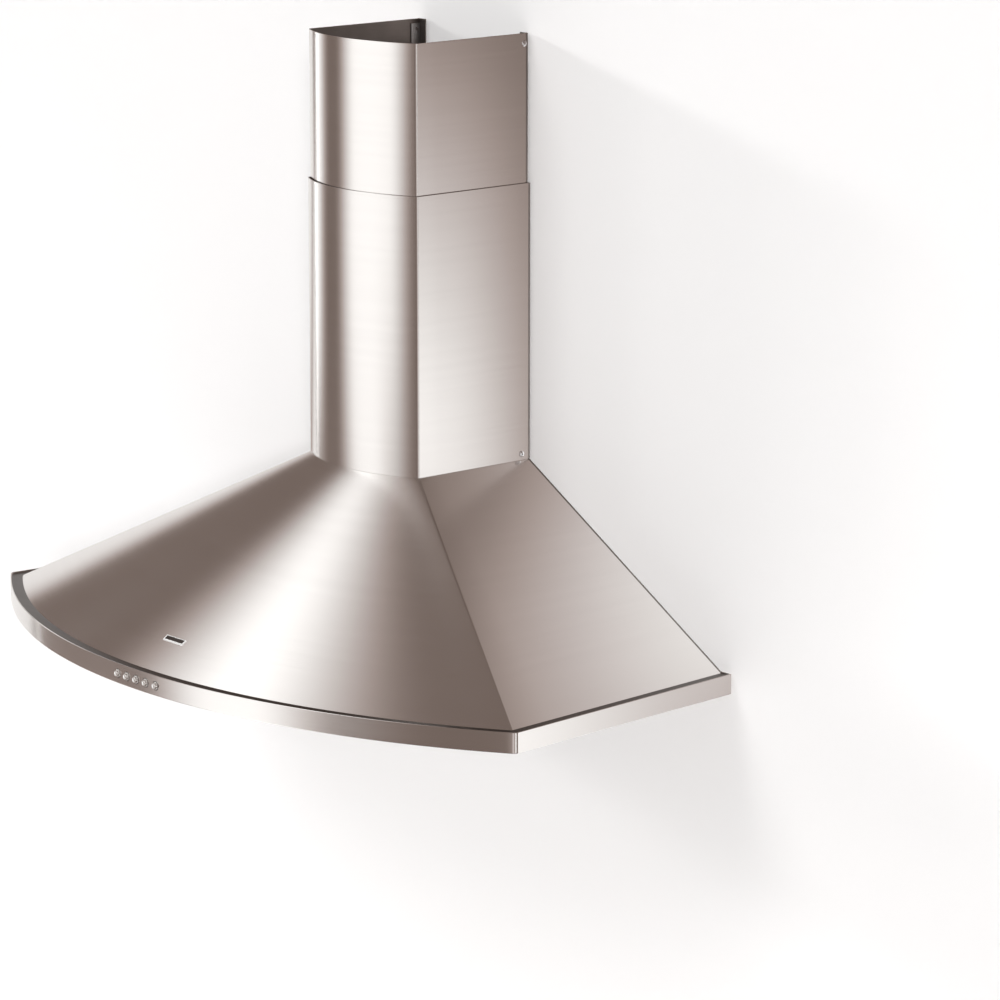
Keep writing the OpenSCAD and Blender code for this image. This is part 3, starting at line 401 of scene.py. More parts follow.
def right_half(plan, inset, bend, back=0.0, side_steps=6, bend_steps=8, bow_steps=64):
    """Points from the middle of the bow round the bend to the wall: lists for bow, bend and side."""
    centre, radius = bow_centre(plan), bow_radius(plan) - inset
    cx, cy = corner(plan, max(bend, inset))
    swing = math.atan2(cx, centre - cy)
    swings = [swing * k / bow_steps for k in range(bow_steps + 1)]
    bow = [(radius * math.sin(a), centre - radius * math.cos(a)) for a in swings]
    start, end = swing - math.pi / 2, math.atan2(lean(plan), 1)
    small = max(bend - inset, 0)
    turns = [start + (end - start) * k / bend_steps for k in range(1, bend_steps + 1)]
    round_part = [(cx + small * math.cos(a), cy + small * math.sin(a)) for a in turns]
    wall = (half_at_wall(plan, inset) + lean(plan) * back, -back)
    last = round_part[-1]
    edge = (wall[0] + lean(plan) * EDGE_STRIP, wall[1] - EDGE_STRIP)
    side = [tuple(p + (q - p) * k / side_steps for p, q in zip(last, wall)) for k in range(1, side_steps)]
    return bow, round_part, side + [edge, wall]


def both_halves(right):
    """Puts the mirror image of the right half before it, so that the points go from left to right."""
    return [(-x, y) for x, y in reversed(right[1:])] + right


def full_path(plan, inset, bend, back=0.0):
    """The whole outline from the left wall end round the front to the right wall end."""
    bow, round_part, side = right_half(plan, inset, bend, back)
    return both_halves(bow + round_part + side)


print("points on the rim's outline:", len(full_path(RIM, 0, 0)))

# %% [markdown]
# ## Sheets from rows of points
# A folded sheet is the same cross-section carried along a path. The helper takes rows of points, one row for
# each corner of the cross-section, joins neighbouring rows with quads, and closes both ends. Corners that
# meet in one point are merged, and only real edges stay sharp, so long bows shade as one smooth surface.

# %% Sheets from rows of points
def joined_mesh(name, points, faces, merge):
    """A mesh from points in metres. Points closer than merge become one, and all faces look outwards."""
    mesh = bpy.data.meshes.new(name)
    mesh.from_pydata(points, [], faces)
    work = bmesh.new()
    work.from_mesh(mesh)
    bmesh.ops.remove_doubles(work, verts=work.verts, dist=merge)
    bmesh.ops.recalc_face_normals(work, faces=work.faces)
    work.to_mesh(mesh)
    work.free()
    return mesh


def build_piece(name, points, faces, finish, body="hood", stands_for=(), sharp=32):
    """Makes a mesh piece in millimetres above the rim's foot, smooth but for its real edges."""
    in_metres = [(x * MM, y * MM, (z + FOOT_Z) * MM) for x, y, z in points]
    mesh = joined_mesh(name, in_metres, faces, merge=0.00002)
    mesh.shade_smooth()
    mesh.set_sharp_from_angle(angle=math.radians(sharp))
    piece = into_scene(name, mesh)
    mesh.materials.append(finish)
    if stands_for:
        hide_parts(*stands_for)
    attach(piece, body)
    return piece


def rows_to_sheet(rows):
    """Points and faces of a closed tube through rows of points, with its two ends filled."""
    long, many = len(rows[0]), len(rows)
    points = [p for row in rows for p in row]
    faces = []
    for r in range(many):
        for c in range(long - 1):
            a, b = r * long + c, ((r + 1) % many) * long + c
            faces.append((a, a + 1, b + 1, b))
    faces.append(tuple(r * long for r in range(many)))
    faces.append(tuple(r * long + long - 1 for r in reversed(range(many))))
    return points, faces


print("sheet helpers are ready")

# %% [markdown]
# ## A second finish
# The inside of a cover takes a darker, unbrushed steel, and the strip along the wall is painted dark: a
# painted shadow line where the sheet meets the wall. Cutting the sheet in two for that would leave a seam in
# the shading. A mesh can hold several finishes, so the piece stays whole, and a small test on each face's
# middle and direction says which faces take the second one.

# %% A second finish
def second_finish(piece, finish, chosen):
    """Gives a finish to the faces that chosen(middle, normal) picks. middle is in mm above the rim's foot."""
    piece.data.materials.append(finish)
    for face in piece.data.polygons:
        x, y, z = face.center / MM
        if chosen(Vector((x, y, z - FOOT_Z)), face.normal):
            face.material_index = 1


print("a piece can take a second finish")

# %% [markdown]
# ## Rim band
# The rim is one strip of sheet, folded to a channel: a lip turned in below, an upright face, and a ledge just
# under the top edge that the canopy stands on. It could be modelled as a bent box, but then the corners would
# be far too sharp. Here the cross-section has small rounded edges that catch the light as real folds do. Its
# first and last points lie close to such edges: they keep the flat face's shading flat.

# %% Rim band
# Radius of the bends at the front corners, in mm
RIM_BEND = 7
# Room behind the channel's inner faces for the flange on the wall, with a small gap
FLANGE_ROOM = 1.3
# Distance from the outline and height of each corner, in mm
RIM_SECTION = [
    (0.02, 0.8), (0.02, 0.5), (0.15, 0.15), (0.5, 0), (13.6, 0), (14, 0.4), (13.6, 1), (1, 1), (1, 19.5),
    (20, 19.5), (20, 20.5), (1.5, 20.5), (1, 21), (1, 21.8), (0.8, 22), (0.3, 22), (0.02, 21.7), (0.02, 21.4),
]


def rim_rows(part):
    """A row of points for each corner of the cross-section, along the front or along the right side."""
    rows = []
    for inset, z in RIM_SECTION:
        back = FLANGE_ROOM if inset > 1 else 0
        bow, round_part, side = right_half(RIM, inset, RIM_BEND, back)
        row = both_halves(bow + round_part) if part == "front" else [round_part[-1]] + side
        rows.append([(x, y, z) for x, y in row])
    return rows


rim_front = build_piece("rim_front", *rows_to_sheet(rim_rows("front")), steel, stands_for=["rim_front_band"])
print("rim front:", len(rim_front.data.polygons), "faces")

# %% [markdown]
# ## Holes for the buttons
# On the real rim a press punches the five holes out of the flat strip, before it is folded. Weaving round
# holes into the rows of quads would be tedious. A boolean does what the press does: it takes the shape of
# five loose rods out of the finished band.

# %% Holes for the buttons
# Radius of a hole in mm, and where the rods start and end along y in metres
HOLE_R = 5.1
ROD_START, ROD_END = -0.474, -0.463


def cut_away(piece, waste):
    """Takes the waste piece's shape out of a piece and throws the waste away."""
    tool = piece.modifiers.new("cut", "BOOLEAN")
    tool.object, tool.operation, tool.solver = waste, "DIFFERENCE", "EXACT"
    result = bpy.data.meshes.new_from_object(piece.evaluated_get(bpy.context.evaluated_depsgraph_get()))
    piece.modifiers.clear()
    piece.data = result
    bpy.data.objects.remove(waste)


def waste_rods(places, radius, start, end, sides=48):
    """Round rods that point along y, as one loose object to cut with."""
    mesh = bpy.data.meshes.new("waste")
    work = bmesh.new()
    for x, z in places:
        turn = Matrix.Translation((x, (start + end) / 2, z)) @ Matrix.Rotation(math.radians(90), 4, "X")
        bmesh.ops.create_cone(
            work, cap_ends=True, segments=sides, radius1=radius, radius2=radius,
            depth=abs(start - end), matrix=turn,
        )
    work.to_mesh(mesh)
    work.free()
    return into_scene("waste", mesh)


buttons = [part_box(f"button_{n}") for n in range(1, 6)]
middles = [((low[0] + high[0]) / 2, (low[2] + high[2]) / 2) for low, high in buttons]
cut_away(rim_front, waste_rods(middles, HOLE_R * MM, ROD_START, ROD_END))
print("rim front with holes:", len(rim_front.data.polygons), "faces")

# %% [markdown]
# ## Rim sides
# The bands along the two sides have the same cross-section, and end in a small flange that lies flat on the
# wall. The flange is a thin box, and it is added to the same mesh as the band, because on the real hood it is
# folded from the same strip. The ledge's top is painted dark: painted shade from the canopy above it.

# %% Rim sides
# Insets of the flange's two long edges from the outline, its thickness, and its two ends, in mm
FLANGE_IN, FLANGE_OUT, FLANGE_T = 15, 1, 1
FLANGE_FOOT, FLANGE_TOP = 0.2, 21.8


def rim_side(name, node, sign):
    """The band along one side, with its return flange against the wall."""
    points, faces = rows_to_sheet(rim_rows("side"))
    inner, outer = half_at_wall(RIM, FLANGE_IN), half_at_wall(RIM, FLANGE_OUT)
    first = len(points)
    ring = [(inner, 0), (outer, 0), (outer, -FLANGE_T), (inner, -FLANGE_T)]
    points += [(x, y, z) for z in (FLANGE_FOOT, FLANGE_TOP) for x, y in ring]
    faces += [tuple(first + k for k in (3, 2, 1, 0)), tuple(first + k for k in (4, 5, 6, 7))]
    faces += [tuple(first + k for k in (k, (k + 1) % 4, (k + 1) % 4 + 4, k + 4)) for k in range(4)]
    return build_piece(name, [(sign * x, y, z) for x, y, z in points], faces, steel, stands_for=[node])


def is_ledge_top(middle, normal):
    """True for faces that look up, just under the rim's top edge."""
    return normal.z > 0.9 and 20 < middle.z < 21


rim_left = rim_side("rim_left", "rim_side_left", -1)
rim_right = rim_side("rim_right", "rim_side_right", 1)
# The ledge's top is painted dark, as painted shade under the canopy
for band in (rim_front, rim_left, rim_right):
    second_finish(band, ledge_shade_and_dark_field, is_ledge_top)
print("rim sides:", len(rim_left.data.polygons), "and", len(rim_right.data.polygons), "faces")

# %% [markdown]
# ## Push buttons
# Five round metal caps stand in the middle of the rim, and each pushes a switch behind it. A cap is turned on a
# lathe, so it is made as a lathe makes it: half of its cross-section is spun round its middle. The face is
# slightly dished for a fingertip, and its rim is rounded, which gives each cap its small bright crescent. A
# thin collar behind it, level with the band, leaves only a fine dark gap round the cap.

# %% Push buttons
def spin(outline, sides=40):
    """Points and faces of a turned piece. outline holds pairs of radius and height, from tip to tip."""
    points, faces, many = [], [], len(outline)
    for k in range(sides):
        turn = 2 * math.pi * k / sides
        points += [(r * math.cos(turn), r * math.sin(turn), h) for r, h in outline]
    for k in range(sides):
        for row in range(many - 1):
            a, b = k * many + row, (k + 1) % sides * many + row
            faces.append((a, b, b + 1, a + 1))
    return points, faces


def button_outline(long):
    """Pairs of radius and depth behind the face, in mm, from the middle of the dished face to the back."""
    return [
        (0, 0.35), (1.2, 0.3), (2.1, 0.12), (2.4, 0.02), (2.75, 0.05), (3.05, 0.25), (3.2, 0.6), (3.25, 2.35),
        (3.35, 2.55), (4.3, 2.62), (4.5, 2.8), (4.5, 3.6), (4.3, 3.8), (4.3, long), (0, long),
    ]


for n, (low, high) in enumerate(buttons, 1):
    points, faces = spin(button_outline((high[1] - low[1]) / MM))
    x, z, face = (low[0] + high[0]) / 2 / MM, (low[2] + high[2]) / 2 / MM - FOOT_Z, low[1] / MM
    points = [(x + px, face + pz, z + py) for px, py, pz in points]
    build_piece(f"cap_{n}", points, faces, satin, f"push_button_{n}", [f"button_{n}"])
print(len(buttons), "buttons, the middle one", round((buttons[2][1][1] - buttons[2][0][1]) / MM, 1), "mm long")

# %% [markdown]
# ## Canopy
# The canopy is a ruled surface: straight lines run from the wide bow at its foot to the narrow bow under the
# chimney. Three sheets are joined at the two front creases and ground smooth there, so on the finished hood
# they read as one shell with softly rounded creases. Lofting the rounded outline at the foot into the
# rounded outline at the top gives both the straight lines and the creases in one go.

# %% Canopy
LEDGE_W, LEDGE_Z, CANOPY_TOP = 14, 20.5, 201
# Radius of the front creases, and how thick the shell is seen from above, in mm
CREASE_R, SHELL_T = 2.5, 2
# Shares of the height at which the shell has a row. The two close to the ends keep its edges crisp
SHARES = [0, 0.004, 0.1, 0.25, 0.4, 0.55, 0.7, 0.85, 0.996, 1]


def canopy_row(depth, share):
    """One row, depth mm inside the outer surface, share of the way from the foot to the top."""
    foot = full_path(RIM, LEDGE_W + depth, LEDGE_W + CREASE_R)
    top = full_path(COVER, depth, CREASE_R)
    z = LEDGE_Z + (CANOPY_TOP - LEDGE_Z) * share
    return [(a[0] + (b[0] - a[0]) * share, a[1] + (b[1] - a[1]) * share, z) for a, b in zip(foot, top)]


outside = [canopy_row(0, share) for share in SHARES]
inside = [canopy_row(SHELL_T, share) for share in reversed(SHARES)]
canopy = build_piece(
    "canopy_shell", *rows_to_sheet(outside + inside), steel,
    stands_for=["canopy_front_panel", "canopy_side_left", "canopy_side_right"],
)
# The strip along the wall is painted dark: a painted shadow line where the sheet meets the wall
second_finish(canopy, dark_inside_and_edge_shade, lambda middle, normal: middle.y > -EDGE_STRIP)
print("canopy shell:", len(canopy.data.polygons), "faces")

# %% [markdown]
# ## A place on the canopy
# The small plate has to lie on a curved and leaning surface. It could be bent there with modifiers, but the
# surface is known exactly: at each height its front is part of a circle. So a function gives the point at any
# distance along the sheet and at any height, and the way straight out of the sheet there.

# %% A place on the canopy
FOOT_RADIUS, TOP_RADIUS = bow_radius(RIM) - LEDGE_W, bow_radius(COVER)
FOOT_CENTRE, TOP_CENTRE = bow_centre(RIM), bow_centre(COVER)
# How far the middle of the front goes back towards the wall for every mm up
SLOPE = (FOOT_CENTRE - FOOT_RADIUS - TOP_CENTRE + TOP_RADIUS) / (LEDGE_Z - CANOPY_TOP)


def on_canopy(across, z):
    """A point on the middle of the canopy's front and the way out of it there."""
    share = (z - LEDGE_Z) / (CANOPY_TOP - LEDGE_Z)
    reach = FOOT_RADIUS + (TOP_RADIUS - FOOT_RADIUS) * share
    centre = FOOT_CENTRE + (TOP_CENTRE - FOOT_CENTRE) * share
    turn = across / reach
    point = Vector((reach * math.sin(turn), centre - reach * math.cos(turn), z))
    return point, Vector((math.sin(turn), -math.cos(turn), SLOPE)).normalized()


print("way out of the canopy's front:", [round(v, 3) for v in on_canopy(0, LEDGE_Z)[1]])

# %% [markdown]
# ## Bare plate
# Low in the middle of the canopy sits a small bare plate with a raised edge. It could be a bevelled box that
# is bent to the sheet afterwards. A grid of points that lie on the sheet itself needs no bending: each point
# is lifted off by its own height, none at the plate's rim, most on the raised edge, and less in the field.

# %% Bare plate
PLATE_W, PLATE_H, PLATE_MIDDLE = 34, 9.4, 45.4
# Height gained for each mm up the leaning sheet
CLIMB = 0.46
# Distances from the plate's rim at which its surface bends, and its height up to a distance from the rim
PLATE_BENDS = (0, 0.1, 0.4, 0.9, 1.2, 1.4)
PLATE_EDGE = ((0.02, -0.05), (0.12, 0.55), (0.45, 0.85), (1.0, 0.9), (1.25, 0.8))
# The field's height and its steps to each side. Its dark part keeps a margin left and right, and starts just
# below the plate's middle
FIELD_LIFT, FIELD_STEPS, FIELD_MARGIN, FIELD_FOOT = 0.45, 8, 1.3, 0.5


def plate_line(size):
    """Distances from the middle at which the plate's surface bends, the same on both sides."""
    right = [size / 2 - bend for bend in PLATE_BENDS]
    inner = [right[-1] * k / FIELD_STEPS for k in range(1 - FIELD_STEPS, FIELD_STEPS)]
    return [-r for r in right] + inner + right[::-1]


def plate_height(u, v):
    """Height above the sheet, u mm along and v mm up from the plate's middle."""
    edge = min(PLATE_W / 2 - abs(u), PLATE_H / 2 - abs(v))
    for limit, lift in PLATE_EDGE:
        if edge < limit:
            return lift
    return FIELD_LIFT


def is_field(middle, normal):
    low, high = PLATE_MIDDLE - FIELD_FOOT, PLATE_MIDDLE + PLATE_H / 2 * CLIMB
    return abs(middle.x) < PLATE_W / 2 - FIELD_MARGIN and low < middle.z < high


columns, rows = plate_line(PLATE_W), plate_line(PLATE_H)
wide, tall = len(columns), len(rows)
points = []
for v in rows:
    for u in columns:
        spot, out = on_canopy(u, PLATE_MIDDLE + v * CLIMB)
        points.append(tuple(spot + out * plate_height(u, v)))
starts = [r * wide + c for r in range(tall - 1) for c in range(wide - 1)]
faces = [(a, a + 1, a + wide + 1, a + wide) for a in starts]
ring = list(range(wide)) + [r * wide + wide - 1 for r in range(1, tall)]
ring += [(tall - 1) * wide + c for c in range(wide - 2, -1, -1)] + [r * wide for r in range(tall - 2, 0, -1)]
faces.append(tuple(reversed(ring)))
# The plate is painted pale: a painted highlight for the bright reflection of its polished face
plate = build_piece("bare_plate", points, faces, plate_highlight_paint)
# The upper part of the plate's field is dark
second_finish(plate, ledge_shade_and_dark_field, is_field)
print("bare plate:", PLATE_W, "by", PLATE_H, "mm,", len(plate.data.polygons), "faces")

# %% [markdown]
# ## Chimney covers
# Each cover is one sheet, folded to a bowed front with two flat sides and two narrow flanges along the wall.
# The upper one is a little smaller and slides inside the lower one. The cross-section is only the thickness
# of the sheet with slightly broken edges, and the path runs round the whole cover.

# %% Chimney covers
# Thickness of the sheet, and how much of its edges is broken, in mm
SHEET, BROKEN = 1, 0.3
# Radius of the front corners, and width of the flanges along the wall
COVER_BEND, COVER_FLANGE = 2.5, 12
# How far the upper cover is inside the lower one and off the wall, and heights above the rim's foot
COVER_GAP, UPPER_BACK = 2.5, 1.5
LOWER_TOP, UPPER_FOOT, UPPER_TOP = 508, 355, 671
# A face looks inwards where it turns at least this far, in mm, towards the chimney's middle line
CHIMNEY_MIDDLE_Y, INWARDS = -80, 5


def cover_rows(inset, low, high, back):
    """Rows for a cover between two heights, inset from the outermost outline and back mm off the wall."""
    section = [
        (0, low + BROKEN), (BROKEN, low), (SHEET - BROKEN, low), (SHEET, low + BROKEN),
        (SHEET, high - BROKEN), (SHEET - BROKEN, high), (BROKEN, high), (0, high - BROKEN),
    ]
    rows = []
    tip = COVER[0] - inset - COVER_FLANGE
    for offset, z in section:
        around = full_path(COVER, inset + offset, COVER_BEND + inset, back + offset)
        rows.append([(x, y, z) for x, y in [(-tip, -back - offset), *around, (tip, -back - offset)]])
    return rows


def is_inside_or_wall_edge(middle, normal):
    """True for faces along the wall and for upright faces that look at the middle of the chimney."""
    outwards = normal.dot(middle - Vector((0, CHIMNEY_MIDDLE_Y, middle.z)))
    is_upright = abs(normal.z) < 0.5
    return middle.y > -EDGE_STRIP - 0.5 or (outwards < -INWARDS and is_upright)


lower_rows = cover_rows(0, CANOPY_TOP, LOWER_TOP, 0)
upper_rows = cover_rows(COVER_GAP, UPPER_FOOT, UPPER_TOP, UPPER_BACK)
lower_chimney = build_piece("lower_chimney", *rows_to_sheet(lower_rows), steel, stands_for=["lower_cover"])
upper_chimney = build_piece(
    "upper_chimney", *rows_to_sheet(upper_rows), steel, "telescopic_cover", stands_for=["upper_cover"]
)
# Insides take the darker steel, and the strip along the wall is painted dark as a painted shadow line
for cover in (lower_chimney, upper_chimney):
    second_finish(cover, dark_inside_and_edge_shade, is_inside_or_wall_edge)
print("chimney covers: lower", LOWER_TOP - CANOPY_TOP, "mm, upper", UPPER_TOP - UPPER_FOOT, "mm")

# %% [markdown]
# ## One screw
# Each cover is held by one small screw on either side, near its end. The head is domed and has a cross cut
# into it for the driver. The head is spun like the buttons, and the cross is taken out with one tapered bar
# after the other: two crossed bars in one waste piece would leave nothing of the screw.

# %% One screw
# Middle to corner of a square bar at its foot and top in mm, and the share of its width that is kept
SLOT_FOOT_R, SLOT_TOP_R, SLOT_NARROW = 1.1, 2.0, 0.32
# Radius of the shank in mm, and the share of the head's height where the cross ends
SHANK_R, CROSS_FLOOR = 1.55, 0.25
# Pairs of radius in mm and share of the head's height, from its top to its seat
SCREW_HEAD = [(0, 1), (1.2, 0.98), (2.3, 0.84), (3.1, 0.55), (3.45, 0.22), (3.5, 0)]


def slot_bar(turn, seat, top):
    """A flat bar across the head, narrower towards the bottom of the cut, as a loose object to cut with."""
    mesh = bpy.data.meshes.new("waste")
    work = bmesh.new()
    middle = Matrix.Translation((0, 0, (top + seat) / 2 * MM))
    bar = bmesh.ops.create_cone(
        work, cap_ends=True, segments=4, radius1=SLOT_FOOT_R * MM, radius2=SLOT_TOP_R * MM,
        depth=(top - seat) * MM, matrix=middle @ Matrix.Rotation(math.radians(turn + 45), 4, "Z"),
    )
    there, back = (Matrix.Rotation(math.radians(angle), 4, "Z") for angle in (turn, -turn))
    flatten = there @ Matrix.Diagonal((1, SLOT_NARROW, 1, 1)) @ back
    bmesh.ops.transform(work, matrix=flatten, verts=bar["verts"])
    work.to_mesh(mesh)
    work.free()
    return into_scene("waste", mesh)


def screw_mesh(head, shank_long):
    """One screw along z with its seat at 0, in metres. head is the height of its head in mm."""
    outline = [(r, head * share) for r, share in SCREW_HEAD]
    outline += [(SHANK_R, 0), (SHANK_R, -shank_long), (0, -shank_long)]
    points, faces = spin(outline, 36)
    in_metres = [(x * MM, y * MM, z * MM) for x, y, z in points]
    one = into_scene("screw", joined_mesh("screw", in_metres, faces, merge=0.00001))
    for turn in (0, 90):
        cut_away(one, slot_bar(turn, head * CROSS_FLOOR, head + 1))
    made = one.data
    bpy.data.objects.remove(one)
    return made


print("a screw head is", SCREW_HEAD[-1][0] * 2, "mm wide")

# %% [markdown]
# ## Cover screws
# A screw and its partner on the other side are one piece. The head ends where the CAD model's head ends, so
# the pair keeps the real width. The turned mesh lies along z, so its points are laid over to point along x,
# and turned half round for the left side, which keeps the cross upright on both.

# %% Cover screws
# Length of the shank in mm: it goes through the cover and into the bracket behind it
SHANK_LONG = 2.9


def screw_pair(name, node, half, body):
    """The two screws that stand for a node. half is how far the sheet's outside is from the middle, in mm."""
    low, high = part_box(node)
    middle = ((low[1] + high[1]) / 2 / MM, (low[2] + high[2]) / 2 / MM - FOOT_Z)
    one = screw_mesh(high[0] / MM - half, SHANK_LONG)
    points, faces = [], []
    for sign in (1, -1):
        first = len(points)
        for vertex in one.vertices:
            x, y, z = (value / MM for value in vertex.co)
            points.append((sign * (half + z), middle[0] + sign * y, middle[1] + x))
        faces += [tuple(first + k for k in face.vertices) for face in one.polygons]
    return build_piece(name, points, faces, turned, body, [node], sharp=40)


lower_screws = screw_pair("lower_screws", "lower_cover_screws", COVER[0], "hood")
upper_screws = screw_pair("upper_screws", "upper_cover_screws", COVER[0] - COVER_GAP, "telescopic_cover")
print("pairs of screws:", len(lower_screws.data.polygons), "and", len(upper_screws.data.polygons), "faces")

# %% [markdown]
# ## Wall and floor
# The hood hangs on a plain white wall. Both the wall and the floor are seen from their front only: from
# behind they are clear, so that the hood can be looked at from every side. A plane that is simply hidden for
# some views would need a second set-up, and a test of which side a ray meets needs none.

# %% Wall and floor
# In metres. The wall stands 2 mm behind the hood's back, so that the two never lie in one plane
WALL_HALF, WALL_TOP, WALL_Y, FLOOR_Z, FLOOR_FRONT = 4, 3, 0.002, -0.9, -5


def stage_paint(name, colour):
    """Matt paint with faint clouds that is clear from behind."""
    finish, tree, shader = start_finish(name)
    tree.nodes.remove(shader)
    place = object_place(tree)
    plaster = noise(tree, place, (3, 3, 3), detail=3)
    paint = add(tree, "BsdfDiffuse", {"Color": tint(tree, plaster, [c * 0.995 for c in colour], colour)})
    clear = add(tree, "BsdfTransparent")
    behind = add(tree, "NewGeometry").outputs["Backfacing"]
    mixed = add(tree, "MixShader", {0: behind, 1: paint.outputs[0], 2: clear.outputs[0]})
    connect(tree, mixed.outputs[0], tree.nodes["Material Output"].inputs["Surface"])
    return finish


def stage_plane(name, corners, finish):
    """One flat face that belongs to the stage and not to the hood."""
    mesh = bpy.data.meshes.new(name)
    mesh.from_pydata(corners, [], [(0, 1, 2, 3)])
    plane = into_scene(name, mesh)
    mesh.materials.append(finish)
    plane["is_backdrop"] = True
    return plane


def upright(half, y, low, high):
    """Corners of an upright plane that faces the room."""
    return [(-half, y, low), (half, y, low), (half, y, high), (-half, y, high)]


wall_paint = stage_paint("wall_paint", (0.965, 0.953, 0.949))
wall = stage_plane("wall", upright(WALL_HALF, WALL_Y, FLOOR_Z, WALL_TOP), wall_paint)
floor = stage_plane("floor", [
    (-WALL_HALF, FLOOR_FRONT, FLOOR_Z), (WALL_HALF, FLOOR_FRONT, FLOOR_Z),
    (WALL_HALF, WALL_Y, FLOOR_Z), (-WALL_HALF, WALL_Y, FLOOR_Z),
], wall_paint)
for plane in (wall, floor):
    print(plane.name, "faces", [round(v, 2) for v in plane.data.polygons[0].normal])

# %% [markdown]
# ## Lamps and glow
# Three lamps shine from the left and throw the faint slanting shadow on the right. Each goes more along the
# wall than the one before and its shadow reaches further, so the whole grows paler in soft steps. A wide lamp
# high in front and one at the front right add the shade close to the hood, and an even glow from all round
# fills the rest. Lamps of the sun kind are used, because their light is the same all over the wall. The
# steel doesn't see them: its own lights come in the next steps. What is seen past the wall is plain white.

# %% Lamps and glow
GLOW = 0.3
LAMPS = [
    # name, the way its light goes, its share of the light on the wall, width in degrees
    ("side_lamp_wide", (1, 0.95, -0.24), 0.025, 8),
    ("side_lamp_middle", (1, 0.4, -0.24), 0.025, 6),
    ("side_lamp_low", (1, 0.29, -0.24), 0.06, 5),
    ("top_lamp", (0.2, 1, -0.85), 0.15, 26),
    ("front_lamp", (-0.76, 0.63, -0.21), 0.35, 10),
]
for name, way, share, width in LAMPS:
    way = Vector(way).normalized()
    lamp_data = bpy.data.lights.new(name, "SUN")
    # A lamp that only grazes the wall has to be stronger to give the wall its share
    lamp_data.energy, lamp_data.angle = math.pi * share / way.y, math.radians(width)
    lamp = into_scene(name, lamp_data)
    lamp.rotation_euler = way.to_track_quat("-Z", "Y").to_euler()
    lamp.visible_glossy = False

world = bpy.data.worlds.new("white_room")
bpy.context.scene.world = world
world.use_nodes = True
room = world.node_tree
paths = add(room, "LightPath").outputs
seen = calc(room, "MAXIMUM", paths["Is Camera Ray"], paths["Is Glossy Ray"])
seen = calc(room, "MAXIMUM", seen, paths["Is Transmission Ray"])
strength = spread(room, seen, GLOW, 1.0, 0.0, 1.0)
connect(room, strength, room.nodes["Background"].inputs["Strength"])
room.nodes["Background"].inputs["Color"].default_value = (1, 1, 1, 1)
print("light on the clear wall:", round(GLOW + sum(lamp[2] for lamp in LAMPS), 2))

# %% [markdown]
# ## Cloth with patches of light
# Steel has hardly any colour of its own: it shows the room. A photographer sets white softboxes and brown
# cards round such a hood, and their reflections draw its curves. Here they are patches of white light with
# soft edges on brown cloth. Real lamps would do the same, but many soft lamps are slow and noisy to render,
# while a cloth that glows in the right places costs little. Where a patch fades it turns a little warmer.

# %% Cloth with patches of light
CARD = (0.205, 0.158, 0.138)
SOFTBOX = (1.27, 1.255, 1.24)
WARMTH = [
    # strength of the patch, and the tint that is laid over it there
    (0, (1, 1, 1)), (0.08, (1.05, 0.99, 0.965)), (0.21, (1.08, 0.99, 0.955)), (0.4, (1.03, 0.98, 0.98)),
    (0.7, (1, 1, 1)),
]


def patch_edge(tree, value, edge, soft, before, after):
    """Glides from before to after while value passes the edge. soft is how wide the glide is."""
    glide = {0: value, 1: edge - soft / 2, 2: edge + soft / 2, 3: before, 4: after}
    return add(tree, "MapRange", glide, interpolation_type="SMOOTHSTEP").outputs[0]


def warmth(tree, total):
    """The tint for the strength of all patches together."""
    ramp = add(tree, "ValToRGB", {0: total})
    while len(ramp.color_ramp.elements) < len(WARMTH):
        ramp.color_ramp.elements.new(0.5)
    for element, (place, colour) in zip(ramp.color_ramp.elements, WARMTH):
        element.position, element.color = place, (*colour, 1)
    return ramp.outputs[0]


def glowing_cloth(name, across_and_up, lights):
    """Brown cloth with soft patches of light. across_and_up(tree) gives the two values that place them."""
    finish, tree, shader = start_finish(name)
    tree.nodes.remove(shader)
    across, up = across_and_up(tree)
    total = 0.0
    for _, left, right, side_soft, low, high, end_soft, strength in lights:
        patch = strength
        for value, start, end, soft in ((across, left, right, side_soft), (up, low, high, end_soft)):
            patch = calc(tree, "MULTIPLY", patch, patch_edge(tree, value, start, soft, 0.0, 1.0))
            patch = calc(tree, "MULTIPLY", patch, patch_edge(tree, value, end, soft, 1.0, 0.0))
        total = calc(tree, "ADD", total, patch)
    colours = {0: total, 6: (*CARD, 1), 7: (*SOFTBOX, 1)}
    lit = add(tree, "Mix", colours, data_type="RGBA", clamp_factor=False).outputs[2]
    layers = {0: 1.0, 6: lit, 7: warmth(tree, total)}
    warmed = add(tree, "Mix", layers, data_type="RGBA", blend_type="MULTIPLY").outputs[2]
    glowing = add(tree, "Emission", {"Color": warmed}).outputs[0]
    connect(tree, glowing, tree.nodes["Material Output"].inputs["Surface"])
    return finish


print("brown cloth", CARD, "and white light", SOFTBOX)

# %% [markdown]
# ## Tent and screen
# A large tent stands round the hood and a screen behind it, and only reflections see them. On the tent a
# patch is given by its compass angle, which is 0 straight out from the wall and grows towards the right, and
# by its height angle: the tent is so large that only the way to a patch counts. The screen stands a little
# way behind the wall, for what the steel mirrors from there, and on it a patch is given in metres. Where two
# patches overlap they add up, and one with a strength below zero takes light away.

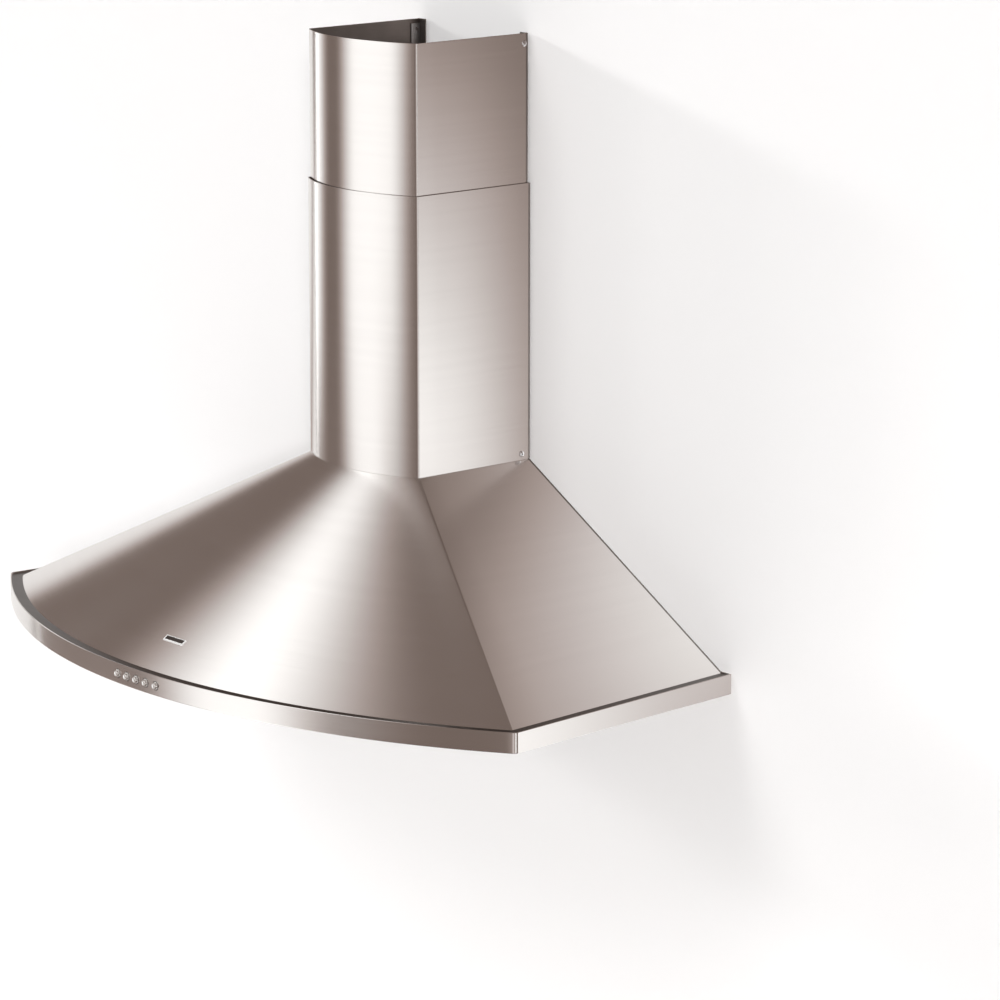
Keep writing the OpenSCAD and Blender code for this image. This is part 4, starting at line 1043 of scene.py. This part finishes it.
# %% Tent and screen
# Radius of the tent, place of the screen, and half its width and height, in metres
TENT_R, SCREEN_Y, SCREEN_HALF, SCREEN_RISE = 20, 0.4, 19.5, 19
TENT_LIGHTS = [
    # name, from and to (compass), soft edge, from and to (height), soft edge, strength
    ("left glow", -101, -83.4, 27, -11, 25, 3, 1.6),
    ("front box", -50, -1, 21, -12.6, 22, 3, 1.03),
    ("front low box", -43.5, -17, 17.6, -45, -14, 7, 1.3),
    ("overhead box", -91, -20, 17, 42, 56, 22.5, 1.6),
    ("left low box", -110, -90, 3, -30, 11, 11, 1.6),
    ("right box", 27.7, 60, 11, -40, 20, 12, 0.42),
    ("right glow", -11.5, 40, 21.5, 17, 37, 11, 0.33),
    ("rim left", -125, -58, 13, -38, -18, 10, 0.45),
    ("far right box", 66, 88, 14, 36, 60, 20, 1.3),
    ("far right low box", 74, 100, 12, -26, 14, 14, 1.2),
]
SCREEN_LIGHTS = [
    # name, from and to (along the wall), soft edge, from and to (up), soft edge, strength
    ("left strip", -3.6, -0.48, 2.0, -0.24, 0.42, 0.4, 0.72),
    ("left low strip", -9.3, -1.27, 0.44, -2.5, -0.42, 0.3, 0.7),
    ("right box", 0.61, 1.6, 0.28, -1.2, 0.2, 0.86, 1.03),
    ("middle box", 0.01, 0.42, 0.3, -1.49, 0.34, 1.17, 1.26),
    ("rim right shade", 0.51, 0.94, 0.39, -0.48, -0.21, 0.14, -0.56),
]


def compass_and_height(tree):
    """The compass angle and the height angle of a point of the tent, in degrees."""
    way = calc(tree, "NORMALIZE", object_place(tree), kind="VectorMath")
    x, y, z = add(tree, "SeparateXYZ", {0: way}).outputs[:3]
    turn = calc(tree, "ARCTAN2", x, calc(tree, "MULTIPLY", y, -1.0))
    rise = calc(tree, "ARCSINE", z)
    return [calc(tree, "DEGREES", angle) for angle in (turn, rise)]


def along_and_up(tree):
    """Where a point of the screen is along the wall and upwards, in metres."""
    x, _, z = add(tree, "SeparateXYZ", {0: object_place(tree)}).outputs[:3]
    return x, z


def only_in_reflections(thing):
    """Hides a thing from the camera, the soft light and the shadows, so that only mirrors see it."""
    thing.visible_camera = thing.visible_diffuse = thing.visible_shadow = False
    thing.visible_transmission = thing.visible_volume_scatter = False
    thing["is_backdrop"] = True


tent_mesh = bpy.data.meshes.new("studio_tent")
work = bmesh.new()
bmesh.ops.create_icosphere(work, subdivisions=4, radius=TENT_R)
work.to_mesh(tent_mesh)
work.free()
tent = into_scene("studio_tent", tent_mesh)
tent_mesh.materials.append(glowing_cloth("tent_cloth", compass_and_height, TENT_LIGHTS))
screen_cloth = glowing_cloth("screen_cloth", along_and_up, SCREEN_LIGHTS)
screen = stage_plane("rear_screen", upright(SCREEN_HALF, SCREEN_Y, -SCREEN_RISE, SCREEN_RISE), screen_cloth)
for thing in (tent, screen):
    only_in_reflections(thing)
wall.visible_glossy = floor.visible_glossy = False
print("lights in the tent:", len(TENT_LIGHTS), "and on the screen:", len(SCREEN_LIGHTS))

# %% [markdown]
# ## Sizes
# The finished model has to stay inside the box of the CAD model. The box round the shown pieces of the
# hood is measured and printed.
# The colours are shown without a film look, so that white paint looks as white as its number says.

# %% Sizes
bpy.context.scene.view_settings.view_transform = "Standard"
low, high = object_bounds()
print("visual box in metres:", [round(v, 4) for v in (*low, *high)])
